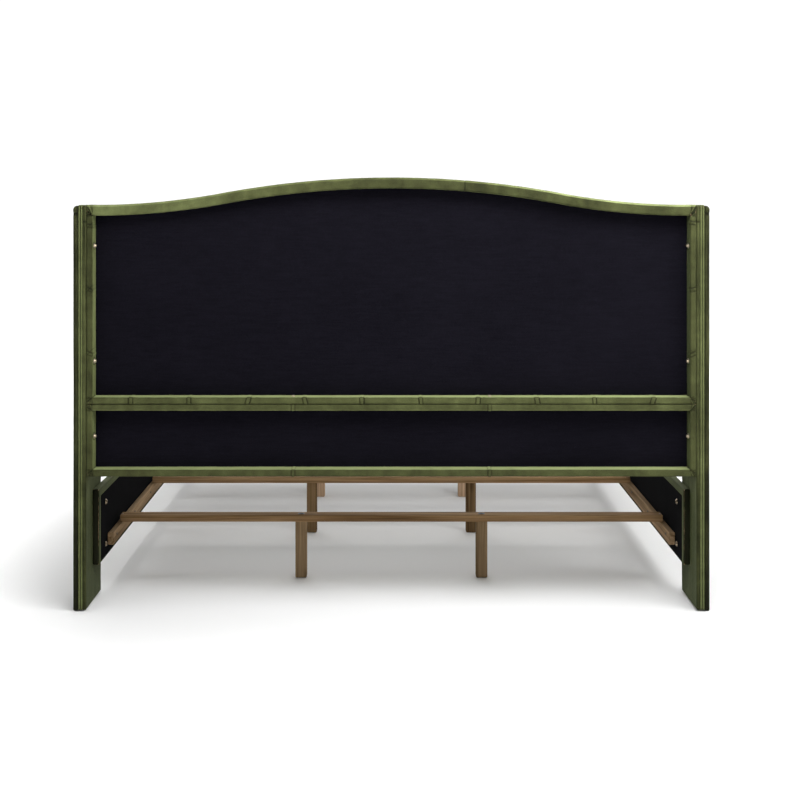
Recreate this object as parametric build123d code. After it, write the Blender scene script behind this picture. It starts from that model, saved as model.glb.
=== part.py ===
from build123d import *
import math
import os

# King-size upholstered bed with an arched, buttoned headboard between two wing panels, low padded side
# rails, a low footboard and three cross slats on legs. Millimetres. +Z is up, the headboard is at +Y and
# the foot end at -Y. The origin is on the floor, under the middle of the whole bed. Left and right are
# those of a person who stands at the foot end and looks at the headboard.

# ---- driving dimensions ----
MATTRESS_WIDTH = 1930.0
MATTRESS_LENGTH = 2032.0
MATTRESS_SIDE_GAP = 12.0
MATTRESS_END_GAP = 13.0

OVERALL_WIDTH = 2083.0
HEAD_CROWN = 1422.0
HEAD_SHOULDER = 1332.0
HEAD_JOIN = 678.5
HEAD_BOTTOM = 440.5
ARCH_HALF_WIDTH = 975.0
ARCH_INFLECTION = 556.0

SKIN = 2.0
FRAME_DEPTH = 57.0
PLYWOOD = 9.0
UPPER_FOAM = 42.0
LOWER_FOAM = 20.0
CAMBRIC = 1.0
STILE_WIDTH = 20.0
ARCH_RAIL_HEIGHT = 36.0
UPPER_BOTTOM_RAIL = 22.0
LOWER_TOP_RAIL = 21.5
LOWER_BOTTOM_RAIL = 23.0

BUTTON_COLUMN_PITCH = 190.0
BUTTON_ROW_PITCH = 105.5
BUTTON_FIRST_ROW = 847.0
BUTTON_ROWS = 5
BUTTON_COLUMNS = 10
BUTTON_RADIUS = 12.5
BUTTON_HEIGHT = 7.0
BUTTON_SINK = 28.0
POCKET_CLEARANCE = 1.0
TWINE_RADIUS = 1.5

WING_THICKNESS = 42.0
WING_DEPTH = 240.0
WING_TOP = 1329.0
WING_FOAM = 6.0
WING_POST_WIDTH = 58.0
WING_CROSS_RAILS = (35.0, 350.0, 690.0, 1298.0)
WING_CORNER_RADIUS = 4.0
WELT_RADIUS = 2.5
WELT_RISE = 2.2
WELT_SPACING = 5.6
WELT_START = 2.0
GLIDE_RADIUS = 12.0
GLIDE_HEIGHT = 4.0
GLIDE_NAIL = 18.0
GLIDE_NAIL_RADIUS = 1.5

RAIL_BOTTOM = 126.0
RAIL_TOP = 380.0
RAIL_THICKNESS = 22.5
RAIL_WADDING = 2.5
RAIL_HEAD_END = 98.0
RAIL_FLANGE = 26.0
LEDGER_WIDTH = 21.0
LEDGER_HEIGHT = 43.0
LEDGER_HEAD_END = 245.0
LEDGER_ROUNDING = 5.0
LEDGER_FOOT_GAP = 12.0

SLAT_BOTTOM = 202.0
SLAT_THICKNESS = 23.0
SLAT_WIDTH = 57.0
SLAT_LENGTH = 1930.0
SLAT_FIRST = 433.0
SLAT_PITCH = 690.0
SLAT_CHAMFER = 1.5
SLAT_NAMES = ("head", "middle", "foot")
LEG_SIDE = 40.0
LEG_OFFSET = 322.0
LEG_CHAMFER = 4.0

FOOT_THICKNESS = 52.0
FOOT_BOARD = 18.0
FOOT_BRACKET_WIDTH = 45.0
FOOT_BRACKET_THICKNESS = 3.0
FOOT_BRACKET_MARGIN = 14.0
FOOT_BOLT_FROM_CORNER = 15.0
FOOT_BOLT_MARGIN = 60.0
FOOT_BOLT_STAGGER = 22.0
FOOT_BOLT_REACH = 15.0
FOOT_LEG_TOP = 40.0
FOOT_LEG_BOTTOM = 30.0
FOOT_LEG_INSET = 45.0

# ---- fasteners: shaft radius, head radius, head height ----
PANEL_SCREW = (3.0, 5.5, 4.0)
WOOD_SCREW = (2.0, 4.0, 2.0)
RAIL_BOLT = (4.0, 7.0, 5.0)
FOOT_BOLT = (4.0, 7.0, 3.5)
WASHER_HEIGHT = 1.5
WASHER_RIM = 2.5
CLEARANCE = 0.2
OVERCUT = 1.0
HOLE_START_X = 900.0
POST_HOLE_REACH = 18.5
PANEL_SCREW_REACH = 45.0
JOINING_SCREW_REACH = 40.0
RAIL_BOLT_REACH = 46.0
LEDGER_SCREW_REACH = 13.0
WING_SCREW_HEIGHTS = (1197.0, 817.0, 570.0)
PANEL_SCREW_DEPTH = 28.0
PANEL_SCREW_X = 323.0
RAIL_BOLT_HEIGHTS = (316.0, 172.0)
RAIL_BOLT_DEPTH = 207.0
INSERT_RADIUS = 6.5
INSERT_LENGTH = 15.0
INSERT_SETBACK = 1.0
LEDGER_SCREW_FIRST = 295.0
LEDGER_SCREW_PITCH = 350.0
LEDGER_SCREW_COUNT = 6
LEDGER_SCREW_HEIGHT = 186.0
SLAT_SCREW_INSET = 5.0
SLAT_SCREW = (2.0, 3.5, 2.0)
SLAT_SCREW_REACH = 14.0
LEG_BOLT = (4.0, 8.0, 2.5)
LEG_BOLT_REACH = 45.0
LEG_DOWEL_RADIUS = 5.0
LEG_DOWEL_REACH = 30.0

# ---- worked out ----
HALF_WIDTH = OVERALL_WIDTH / 2
WING_INNER = HALF_WIDTH - WING_THICKNESS
RAIL_INNER = MATTRESS_WIDTH / 2 + MATTRESS_SIDE_GAP
UPPER_DEPTH = FRAME_DEPTH + PLYWOOD + UPPER_FOAM + SKIN
LOWER_DEPTH = FRAME_DEPTH + PLYWOOD + LOWER_FOAM + SKIN
FOOT_INNER = UPPER_DEPTH + MATTRESS_LENGTH + MATTRESS_END_GAP
FOOT_OUTER = FOOT_INNER + FOOT_THICKNESS
LENGTH = WELT_RISE + FOOT_OUTER
LEDGER_FOOT_END = FOOT_INNER - FOOT_BRACKET_WIDTH - LEDGER_FOOT_GAP
ARCH_TURN = 2 * math.atan((HEAD_CROWN - HEAD_SHOULDER) / ARCH_HALF_WIDTH)
CROWN_RADIUS = ARCH_INFLECTION / math.sin(ARCH_TURN)
HOLLOW_RADIUS = (ARCH_HALF_WIDTH - ARCH_INFLECTION) / math.sin(ARCH_TURN)
SIDES = {"left": -1, "right": 1}


# ---- helpers ----
def y_at(depth):
    """Row Y of a plane that lies depth in front of the wings' rear faces."""
    return LENGTH / 2 - WELT_RISE - depth


def block(x_range, depth_range, z_range):
    """A box from its ranges in X, in depth from the rear, and in Z."""
    size = [abs(high - low) for low, high in (x_range, depth_range, z_range)]
    middle = (sum(x_range) / 2, y_at(sum(depth_range) / 2), sum(z_range) / 2)
    return Pos(*middle) * Box(*size)


def rod_x(x_range, depth, z, radius):
    """A cylinder along X."""
    length = abs(x_range[1] - x_range[0])
    return Pos(sum(x_range) / 2, y_at(depth), z) * Rot(0, 90, 0) * Cylinder(radius, length)


def rod_y(x, depth_range, z, radius):
    """A cylinder along Y."""
    length = abs(depth_range[1] - depth_range[0])
    return Pos(x, y_at(sum(depth_range) / 2), z) * Rot(90, 0, 0) * Cylinder(radius, length)


def rod_z(x, depth, z_range, radius):
    """A cylinder along Z."""
    length = abs(z_range[1] - z_range[0])
    return Pos(x, y_at(depth), sum(z_range) / 2) * Cylinder(radius, length)


def group(pieces):
    """Separate pieces that share one node."""
    return Compound(children=list(pieces))


def save(shape, node):
    """Write one node's file."""
    export_step(shape, f"parts/{node}.step")


# ---- fasteners ----
def fastener_x(x_face, towards, reach, depth, z, kind):
    """A headed fastener along X: its washer lies on the plane x_face and its shaft goes towards +1 or -1."""
    shaft, head, height = kind
    washer = rod_x((x_face - towards * WASHER_HEIGHT, x_face), depth, z, head + WASHER_RIM)
    top = x_face - towards * WASHER_HEIGHT
    return washer + rod_x((top - towards * height, top), depth, z, head) + rod_x(
        (x_face, x_face + towards * reach), depth, z, shaft
    )


def fastener_z(x, depth, z_face, reach, kind):
    """A headed fastener that goes down from the plane z_face."""
    shaft, head, height = kind
    return rod_z(x, depth, (z_face, z_face + height), head) + rod_z(x, depth, (z_face - reach, z_face), shaft)


def sunk_fastener_z(x, depth, z_face, reach, kind):
    """A headed fastener that goes down from the plane z_face, with its head flush in it."""
    shaft, head, height = kind
    under = z_face - height
    return rod_z(x, depth, (under, z_face), head) + rod_z(x, depth, (z_face - reach, under), shaft)


def sunk_hole_z(x, depth, z_face, low, kind):
    """The clearance hole and counterbore for sunk_fastener_z, down to the height low."""
    shaft, head, height = kind
    bore = rod_z(x, depth, (low, z_face), shaft + CLEARANCE)
    return bore + rod_z(x, depth, (z_face - height - CLEARANCE, z_face + OVERCUT), head + CLEARANCE)


def wing_screw_holes(x_low, x_high, sign):
    """Clearance holes for the screws that join the headboard to one wing."""
    radius = PANEL_SCREW[0] + CLEARANCE
    span = (sign * x_low, sign * x_high)
    return [rod_x(span, PANEL_SCREW_DEPTH, z, radius) for z in WING_SCREW_HEIGHTS]


def joining_screw_holes(z_low, z_high):
    """Clearance holes for the two screws that join the upper panel to the lower one."""
    radius = PANEL_SCREW[0] + CLEARANCE
    return [rod_z(s * PANEL_SCREW_X, PANEL_SCREW_DEPTH, (z_low, z_high), radius) for s in SIDES.values()]


def rail_bolt_holes(x_low, x_high, sign, radius):
    """Holes for the bolts that join one side rail to its wing."""
    return [rod_x((sign * x_low, sign * x_high), RAIL_BOLT_DEPTH, z, radius) for z in RAIL_BOLT_HEIGHTS]


def ledger_screw_depths():
    """Depth of each screw along a ledger."""
    return [LEDGER_SCREW_FIRST + i * LEDGER_SCREW_PITCH for i in range(LEDGER_SCREW_COUNT)]


def slat_depths():
    """Depth of each slat's middle."""
    return [SLAT_FIRST + i * SLAT_PITCH for i in range(len(SLAT_NAMES))]


def headboard_screws():
    """Washer-headed screws: three through each side of the headboard, two down between the panels."""
    face = WING_INNER - STILE_WIDTH
    pieces = [
        fastener_x(sign * face, sign, PANEL_SCREW_REACH, PANEL_SCREW_DEPTH, z, PANEL_SCREW)
        for sign in SIDES.values()
        for z in WING_SCREW_HEIGHTS
    ]
    top = HEAD_JOIN + UPPER_BOTTOM_RAIL
    for sign in SIDES.values():
        x = sign * PANEL_SCREW_X
        pieces.append(fastener_z(x, PANEL_SCREW_DEPTH, top, JOINING_SCREW_REACH, PANEL_SCREW))
    return group(pieces)


# ---- headboard ----
def arch_height(x, inset):
    """Height of the arched top edge at x, for the edge moved inwards by inset."""
    x = abs(x)
    crown = CROWN_RADIUS - inset
    hollow = HOLLOW_RADIUS + inset
    if x <= crown * math.sin(ARCH_TURN):
        return HEAD_CROWN - CROWN_RADIUS + math.sqrt(crown**2 - x**2)
    if x < ARCH_HALF_WIDTH:
        return HEAD_SHOULDER + HOLLOW_RADIUS - math.sqrt(hollow**2 - (ARCH_HALF_WIDTH - x) ** 2)
    return HEAD_SHOULDER - inset


def upper_slab(side_inset, bottom_inset, top_inset, depth_range):
    """The upper panel's outline, moved inwards at its sides, bottom and arch, over a range of depth."""
    half = WING_INNER - side_inset
    bottom = HEAD_JOIN + bottom_inset
    turn_x = (CROWN_RADIUS - top_inset) * math.sin(ARCH_TURN)
    hollow_x = (turn_x + ARCH_HALF_WIDTH) / 2

    def on_arch(x):
        return (x, y_at(depth_range[0]), arch_height(x, top_inset))

    low_left = (-half, y_at(depth_range[0]), bottom)
    low_right = (half, y_at(depth_range[0]), bottom)
    edges = [
        Line(low_left, low_right),
        Line(low_right, on_arch(half)),
        Line(on_arch(half), on_arch(ARCH_HALF_WIDTH)),
        ThreePointArc(on_arch(ARCH_HALF_WIDTH), on_arch(hollow_x), on_arch(turn_x)),
        ThreePointArc(on_arch(turn_x), on_arch(0), on_arch(-turn_x)),
        ThreePointArc(on_arch(-turn_x), on_arch(-hollow_x), on_arch(-ARCH_HALF_WIDTH)),
        Line(on_arch(-ARCH_HALF_WIDTH), on_arch(-half)),
        Line(on_arch(-half), low_left),
    ]
    return extrude(Face(Wire(edges)), amount=depth_range[1] - depth_range[0], dir=(0, -1, 0))


def lower_slab(side_inset, bottom_inset, top_inset, depth_range):
    """The lower panel's outline, as upper_slab."""
    half = WING_INNER - side_inset
    return block((-half, half), depth_range, (HEAD_BOTTOM + bottom_inset, HEAD_JOIN - top_inset))


def button_places():
    """X and Z of every button: rows of ten and nine in turn, on a diamond grid."""
    places = []
    for row in range(BUTTON_ROWS):
        count = BUTTON_COLUMNS - row % 2
        for column in range(count):
            x = (column - (count - 1) / 2) * BUTTON_COLUMN_PITCH
            places.append((x, BUTTON_FIRST_ROW + row * BUTTON_ROW_PITCH))
    return places


def upper_buttons():
    """Covered buttons, each sunk into the pad and tied through the plywood."""
    low = UPPER_DEPTH - BUTTON_SINK
    return group(
        rod_y(x, (low - BUTTON_HEIGHT, low), z, BUTTON_RADIUS)
        + rod_y(x, (FRAME_DEPTH + CAMBRIC, low - BUTTON_HEIGHT), z, TWINE_RADIUS)
        for x, z in button_places()
    )


def button_pockets():
    """The space that the buttons and their twines take in the pad, its cover and the plywood."""
    low = UPPER_DEPTH - BUTTON_SINK - BUTTON_HEIGHT
    pocket = (low - CLEARANCE, UPPER_DEPTH + OVERCUT)
    pockets = []
    for x, z in button_places():
        pockets.append(rod_y(x, pocket, z, BUTTON_RADIUS + POCKET_CLEARANCE))
        pockets.append(rod_y(x, (FRAME_DEPTH - OVERCUT, low), z, TWINE_RADIUS + CLEARANCE))
    return pockets


def panel_cover(slab, insets, depth, holes):
    """Velvet over a panel's front, edges and rear frame faces, open over the recessed rear."""
    side, bottom, top = insets
    outside = slab(0, 0, 0, (0, depth))
    inside = slab(SKIN, SKIN, SKIN, (SKIN, depth - SKIN))
    lined = slab(side - SKIN, bottom - SKIN, top - SKIN, (-OVERCUT, FRAME_DEPTH))
    recess = slab(side, bottom, top, (-OVERCUT, FRAME_DEPTH))
    return outside - (inside - lined) - recess - holes


def stile_and_rail_boards(slab, insets, wing_holes, join_holes):
    """Frame boards of one panel: top rail over the stiles, bottom rail between them."""
    side, bottom, top = insets
    depths = (SKIN, FRAME_DEPTH)
    over = slab(-SKIN, -SKIN, top - SKIN, (0, FRAME_DEPTH + OVERCUT))
    body = slab(SKIN, SKIN, SKIN, depths)
    under = slab(SKIN, SKIN, top - SKIN, depths)
    low = HEAD_JOIN if slab is upper_slab else HEAD_BOTTOM
    inner = WING_INNER - side + SKIN
    boards = {"top": body - over - join_holes}
    for name, sign in SIDES.items():
        column = block((sign * inner, sign * HALF_WIDTH), depths, (0, HEAD_CROWN))
        boards[name] = (under & column) - wing_holes[name]
    boards["bottom"] = block((-inner, inner), depths, (low + SKIN, low + bottom - SKIN)) - join_holes
    return boards


def build_upper_panel():
    """The arched, buttoned panel."""
    insets = (STILE_WIDTH, UPPER_BOTTOM_RAIL, ARCH_RAIL_HEIGHT)
    wing_holes = {name: wing_screw_holes(HOLE_START_X, HALF_WIDTH, sign) for name, sign in SIDES.items()}
    join_holes = joining_screw_holes(HEAD_JOIN - OVERCUT, HEAD_JOIN + UPPER_BOTTOM_RAIL + OVERCUT)
    boards = stile_and_rail_boards(upper_slab, insets, wing_holes, join_holes)
    save(boards["top"], "upper_arch_rail")
    save(boards["left"], "upper_stile_left")
    save(boards["right"], "upper_stile_right")
    save(boards["bottom"], "upper_bottom_rail")
    pockets = button_pockets()
    panel_depths = (FRAME_DEPTH, FRAME_DEPTH + PLYWOOD)
    save(upper_slab(SKIN, SKIN, SKIN, panel_depths) - pockets, "upper_backing_panel")
    pad_depths = (FRAME_DEPTH + PLYWOOD, UPPER_DEPTH - SKIN)
    save(upper_slab(SKIN, SKIN, SKIN, pad_depths) - pockets, "upper_pad")
    holes = wing_holes["left"] + wing_holes["right"] + join_holes + pockets
    save(panel_cover(upper_slab, insets, UPPER_DEPTH, holes), "upper_cover")
    save(upper_slab(*insets, (FRAME_DEPTH - CAMBRIC, FRAME_DEPTH)), "upper_dust_cover")
    save(upper_buttons(), "upper_buttons")


def build_lower_panel():
    """The plain panel below it."""
    insets = (STILE_WIDTH, LOWER_BOTTOM_RAIL, LOWER_TOP_RAIL)
    wing_holes = {name: wing_screw_holes(HOLE_START_X, HALF_WIDTH, sign) for name, sign in SIDES.items()}
    join_holes = joining_screw_holes(HEAD_JOIN - LOWER_TOP_RAIL, HEAD_JOIN + OVERCUT)
    boards = stile_and_rail_boards(lower_slab, insets, wing_holes, join_holes)
    save(boards["top"], "lower_top_rail")
    save(boards["left"], "lower_stile_left")
    save(boards["right"], "lower_stile_right")
    save(boards["bottom"], "lower_bottom_rail")
    save(lower_slab(SKIN, SKIN, SKIN, (FRAME_DEPTH, FRAME_DEPTH + PLYWOOD)), "lower_backing_panel")
    pad_depths = (FRAME_DEPTH + PLYWOOD, LOWER_DEPTH - SKIN)
    save(lower_slab(SKIN, SKIN, SKIN, pad_depths), "lower_pad")
    holes = wing_holes["left"] + wing_holes["right"] + join_holes
    save(panel_cover(lower_slab, insets, LOWER_DEPTH, holes), "lower_cover")
    save(lower_slab(*insets, (FRAME_DEPTH - CAMBRIC, FRAME_DEPTH)), "lower_dust_cover")


# ---- wings ----
def glide_places(sign):
    """X and depth of the two glides under one wing."""
    x = sign * (WING_INNER + WING_THICKNESS / 2)
    first = SKIN + WING_POST_WIDTH / 2
    return [(x, first), (x, WING_DEPTH - first)]


def glide(x, depth):
    """A nail-on glide: a disc on the floor and its nail."""
    disc = rod_z(x, depth, (0, GLIDE_HEIGHT), GLIDE_RADIUS)
    return disc + rod_z(x, depth, (GLIDE_HEIGHT, GLIDE_HEIGHT + GLIDE_NAIL), GLIDE_NAIL_RADIUS)


def glide_holes(sign):
    """Nail holes for one wing's glides."""
    span = (0, GLIDE_HEIGHT + GLIDE_NAIL + OVERCUT)
    return [rod_z(x, depth, span, GLIDE_NAIL_RADIUS + CLEARANCE) for x, depth in glide_places(sign)]


def double_welt(sign):
    """Two half-round cords, side by side, up the wing's rear edge and forward along its top."""
    cords = []
    middle = sign * (WING_INNER + WING_THICKNESS / 2)
    sunk = WELT_RADIUS - WELT_RISE
    keep_rear = block((-HALF_WIDTH, HALF_WIDTH), (-WELT_RISE - OVERCUT, 0), (0, WING_TOP + WELT_RISE))
    above_top = (WING_TOP, WING_TOP + WELT_RISE + OVERCUT)
    keep_top = block((-HALF_WIDTH, HALF_WIDTH), (-WELT_RISE, WING_DEPTH), above_top)
    for offset in (-WELT_SPACING / 2, WELT_SPACING / 2):
        x = middle + offset
        rear = rod_z(x, sunk, (GLIDE_HEIGHT + WELT_START, WING_TOP), WELT_RADIUS) & keep_rear
        top = rod_y(x, (WELT_RADIUS, WING_DEPTH - WELT_RADIUS), WING_TOP - sunk, WELT_RADIUS) & keep_top
        cords += [rear, top]
    return group(cords)


def build_wing(name, sign):
    """One wing: two posts and four cross rails, foam on both faces, velvet all round."""
    low = WING_INNER + SKIN + WING_FOAM
    high = HALF_WIDTH - SKIN - WING_FOAM
    timber = (sign * low, sign * high)
    z_range = (GLIDE_HEIGHT + SKIN, WING_TOP - SKIN)
    nails = glide_holes(sign)
    hole_end = low + POST_HOLE_REACH
    screws = wing_screw_holes(HOLE_START_X, hole_end, sign)
    bolts = rail_bolt_holes(HOLE_START_X, hole_end, sign, RAIL_BOLT[0] + CLEARANCE)
    seat = low + INSERT_SETBACK
    inserts = rail_bolt_holes(seat, seat + INSERT_LENGTH, sign, INSERT_RADIUS)
    rear = block(timber, (SKIN, SKIN + WING_POST_WIDTH), z_range)
    front = block(timber, (WING_DEPTH - SKIN - WING_POST_WIDTH, WING_DEPTH - SKIN), z_range)
    between = (SKIN + WING_POST_WIDTH, WING_DEPTH - SKIN - WING_POST_WIDTH)
    half_rail = WING_POST_WIDTH / 2
    rails = [block(timber, between, (z - half_rail, z + half_rail)) for z in WING_CROSS_RAILS]
    sheets = [
        block((sign * a, sign * b), (SKIN, WING_DEPTH - SKIN), z_range) - screws - bolts
        for a, b in ((WING_INNER + SKIN, low), (high, HALF_WIDTH - SKIN))
    ]
    outside = block((sign * WING_INNER, sign * HALF_WIDTH), (0, WING_DEPTH), (GLIDE_HEIGHT, WING_TOP))
    outside = fillet(outside.edges(), WING_CORNER_RADIUS)
    hollow = block(
        (sign * (WING_INNER + SKIN), sign * (HALF_WIDTH - SKIN)), (SKIN, WING_DEPTH - SKIN), z_range
    )
    save(rear - nails - screws, f"wing_{name}_rear_post")
    save(front - nails - bolts - inserts, f"wing_{name}_front_post")
    save(group(rails), f"wing_{name}_cross_rails")
    save(group(sheets), f"wing_{name}_padding")
    save(outside - hollow - nails - screws - bolts, f"wing_{name}_cover")
    save(double_welt(sign), f"wing_{name}_welt")


def wing_glides():
    """The glides of both wings."""
    return group(glide(x, depth) for sign in SIDES.values() for x, depth in glide_places(sign))


# ---- side rails ----
def build_rail(name, sign):
    """One side rail: board, wadding, velvet, black inner cover, and the ledger that the slats lie on."""
    depths = (RAIL_HEAD_END, FOOT_INNER)
    inside_depths = (RAIL_HEAD_END + SKIN, FOOT_INNER - SKIN)
    z_inside = (RAIL_BOTTOM + SKIN, RAIL_TOP - SKIN)
    outer = RAIL_INNER + RAIL_THICKNESS
    board_outer = outer - SKIN - RAIL_WADDING
    bolts = rail_bolt_holes(HOLE_START_X, outer + OVERCUT, sign, RAIL_BOLT[0] + CLEARANCE)
    foot_holes = foot_bolt_holes(bolt_into_rail)
    screw_end = sign * (RAIL_INNER + LEDGER_SCREW_REACH + OVERCUT)
    screws = [
        rod_x((sign * HOLE_START_X, screw_end), depth, LEDGER_SCREW_HEIGHT, WOOD_SCREW[0] + CLEARANCE)
        for depth in ledger_screw_depths()
    ]
    for depth in slat_depths():
        screws += slat_screw_holes(depth)
    board = block((sign * (RAIL_INNER + SKIN), sign * board_outer), inside_depths, z_inside)
    wadding = block((sign * board_outer, sign * (outer - SKIN)), inside_depths, z_inside)
    outside = block((sign * RAIL_INNER, sign * outer), depths, (RAIL_BOTTOM, RAIL_TOP))
    hollow = block((sign * (RAIL_INNER + SKIN), sign * (outer - SKIN)), inside_depths, z_inside)
    opening = block(
        (sign * RAIL_INNER, sign * (RAIL_INNER + SKIN)),
        (RAIL_HEAD_END + RAIL_FLANGE, FOOT_INNER - RAIL_FLANGE),
        (RAIL_BOTTOM + SKIN, RAIL_TOP - RAIL_FLANGE),
    )
    ledger = block(
        (sign * (RAIL_INNER - LEDGER_WIDTH), sign * RAIL_INNER),
        (LEDGER_HEAD_END, LEDGER_FOOT_END),
        (SLAT_BOTTOM - LEDGER_HEIGHT, SLAT_BOTTOM),
    )
    ledger = fillet(ledger.edges().filter_by(Axis.Y), LEDGER_ROUNDING)
    save(board - bolts - screws - foot_holes, f"rail_{name}_board")
    save(wadding - bolts, f"rail_{name}_wadding")
    save(outside - hollow - opening - bolts - foot_holes, f"rail_{name}_cover")
    save(opening - bolts - screws, f"rail_{name}_dust_cover")
    save(ledger - screws, f"rail_{name}_ledger")


def ledger_screws():
    """Flat-headed screws through both ledgers into the rails."""
    shaft, head, height = WOOD_SCREW
    face = RAIL_INNER - LEDGER_WIDTH
    tip = RAIL_INNER + LEDGER_SCREW_REACH
    pieces = []
    for sign in SIDES.values():
        for depth in ledger_screw_depths():
            cap = rod_x((sign * (face - height), sign * face), depth, LEDGER_SCREW_HEIGHT, head)
            pin = rod_x((sign * face, sign * tip), depth, LEDGER_SCREW_HEIGHT, shaft)
            pieces.append(cap + pin)
    return group(pieces)


def rail_bolts():
    """Bolts through the side rails into the wings."""
    return group(
        fastener_x(sign * RAIL_INNER, sign, RAIL_BOLT_REACH, RAIL_BOLT_DEPTH, z, RAIL_BOLT)
        for sign in SIDES.values()
        for z in RAIL_BOLT_HEIGHTS
    )


def rail_inserts():
    """Threaded inserts in the wings' front posts, which take the rail bolts."""
    start = WING_INNER + SKIN + WING_FOAM + INSERT_SETBACK
    pieces = []
    for sign in SIDES.values():
        bores = rail_bolt_holes(HOLE_START_X, HALF_WIDTH, sign, RAIL_BOLT[0] + CLEARANCE / 2)
        for solid in rail_bolt_holes(start, start + INSERT_LENGTH, sign, INSERT_RADIUS):
            pieces.append(solid - bores)
    return group(pieces)


# ---- footboard ----
def foot_bolt_places():
    """Side and height of each bolt pair in the corner brackets."""
    heights = (RAIL_BOTTOM + FOOT_BOLT_MARGIN, RAIL_TOP - FOOT_BOLT_MARGIN - FOOT_BOLT_STAGGER)
    return [(sign, z) for sign in SIDES.values() for z in heights]


def bolt_into_footboard(sign, z, radius, low, high):
    """A cylinder along a bolt that runs from a corner bracket into the footboard."""
    x = sign * (RAIL_INNER - FOOT_BOLT_FROM_CORNER)
    return rod_y(x, (FOOT_INNER + low, FOOT_INNER + high), z, radius)


def bolt_into_rail(sign, z, radius, low, high):
    """A cylinder along a bolt that runs from a corner bracket into a side rail."""
    span = (sign * (RAIL_INNER + low), sign * (RAIL_INNER + high))
    return rod_x(span, FOOT_INNER - FOOT_BOLT_FROM_CORNER, z + FOOT_BOLT_STAGGER, radius)


def foot_bolt_holes(line):
    """Clearance holes for the corner brackets' bolts along one of the two lines above."""
    radius = FOOT_BOLT[0] + CLEARANCE
    low = -FOOT_BRACKET_WIDTH
    return [line(sign, z, radius, low, FOOT_BOLT_REACH + OVERCUT) for sign, z in foot_bolt_places()]


def foot_bolts():
    """Button-headed bolts that hold the corner brackets to the footboard and to the side rails."""
    shaft, head, height = FOOT_BOLT
    face = -FOOT_BRACKET_THICKNESS
    pieces = []
    for line in (bolt_into_footboard, bolt_into_rail):
        for sign, z in foot_bolt_places():
            pin = line(sign, z, shaft, face, FOOT_BOLT_REACH)
            pieces.append(pin + line(sign, z, head, face - height, face))
    return group(pieces)


def foot_bracket(sign, holes):
    """A steel angle in the corner between a side rail and the footboard."""
    inner_x = sign * (RAIL_INNER - FOOT_BRACKET_WIDTH)
    face_x = sign * (RAIL_INNER - FOOT_BRACKET_THICKNESS)
    heights = (RAIL_BOTTOM + FOOT_BRACKET_MARGIN, RAIL_TOP - FOOT_BRACKET_MARGIN)
    on_rail = block((face_x, sign * RAIL_INNER), (FOOT_INNER - FOOT_BRACKET_WIDTH, FOOT_INNER), heights)
    on_board = block((inner_x, face_x), (FOOT_INNER - FOOT_BRACKET_THICKNESS, FOOT_INNER), heights)
    return on_rail + on_board - holes


def foot_leg(sign):
    """A tapered wooden foot under one end of the footboard, with its dowel."""
    x = sign * (HALF_WIDTH - FOOT_LEG_INSET)
    depth = FOOT_INNER + FOOT_LEG_TOP / 2
    top = Pos(x, y_at(depth), RAIL_BOTTOM) * Rectangle(FOOT_LEG_TOP, FOOT_LEG_TOP)
    bottom = Pos(x, y_at(depth), 0) * Rectangle(FOOT_LEG_BOTTOM, FOOT_LEG_BOTTOM)
    return loft([bottom, top])


def foot_dowels(radius, reach):
    """Dowels, or their holes, between the feet and the footboard's board."""
    depth = FOOT_INNER + SKIN + FOOT_BOARD / 2
    span = (RAIL_BOTTOM - reach, RAIL_BOTTOM + reach)
    return [rod_z(sign * (HALF_WIDTH - FOOT_LEG_INSET), depth, span, radius) for sign in SIDES.values()]


def build_footboard():
    """The low footboard: board, pad, velvet, black inner cover, corner brackets, bolts and feet."""
    inner, outer = FOOT_INNER, FOOT_OUTER
    half = HALF_WIDTH - SKIN
    z_inside = (RAIL_BOTTOM + SKIN, RAIL_TOP - SKIN)
    bolt_holes = foot_bolt_holes(bolt_into_footboard)
    bracket_holes = bolt_holes + foot_bolt_holes(bolt_into_rail)
    dowels = foot_dowels(LEG_DOWEL_RADIUS, LEG_DOWEL_REACH)
    dowel_holes = foot_dowels(LEG_DOWEL_RADIUS + CLEARANCE, LEG_DOWEL_REACH + OVERCUT)
    board = block((-half, half), (inner + SKIN, inner + SKIN + FOOT_BOARD), z_inside)
    pad = block((-half, half), (inner + SKIN + FOOT_BOARD, outer - SKIN), z_inside)
    outside = block((-HALF_WIDTH, HALF_WIDTH), (inner, outer), (RAIL_BOTTOM, RAIL_TOP))
    outside = fillet(outside.edges(), WING_CORNER_RADIUS)
    hollow = block((-half, half), (inner + SKIN, outer - SKIN), z_inside)
    flange = HALF_WIDTH - RAIL_FLANGE
    opening_heights = (RAIL_BOTTOM + RAIL_FLANGE, RAIL_TOP - RAIL_FLANGE)
    opening = block((-flange, flange), (inner, inner + SKIN), opening_heights)
    save(board - bolt_holes - dowel_holes, "footboard_board")
    save(pad, "footboard_pad")
    save(outside - hollow - opening - dowel_holes, "footboard_cover")
    save(opening - bolt_holes, "footboard_dust_cover")
    save(group(foot_bracket(sign, bracket_holes) for sign in SIDES.values()), "footboard_brackets")
    save(foot_bolts(), "footboard_bolts")
    save(group((foot_leg(sign) - dowel_holes) for sign in SIDES.values()), "footboard_feet")
    save(group(dowels), "footboard_dowels")


# ---- slats and legs ----
def leg_bolt_places(depth):
    """X and depth of the bolt over each leg of one slat."""
    return [(sign * LEG_OFFSET, depth) for sign in SIDES.values()]


def slat_screw_places(depth):
    """X and depth of the screw at each end of one slat."""
    return [(sign * (SLAT_LENGTH / 2 - SLAT_SCREW_INSET), depth) for sign in SIDES.values()]


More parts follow.
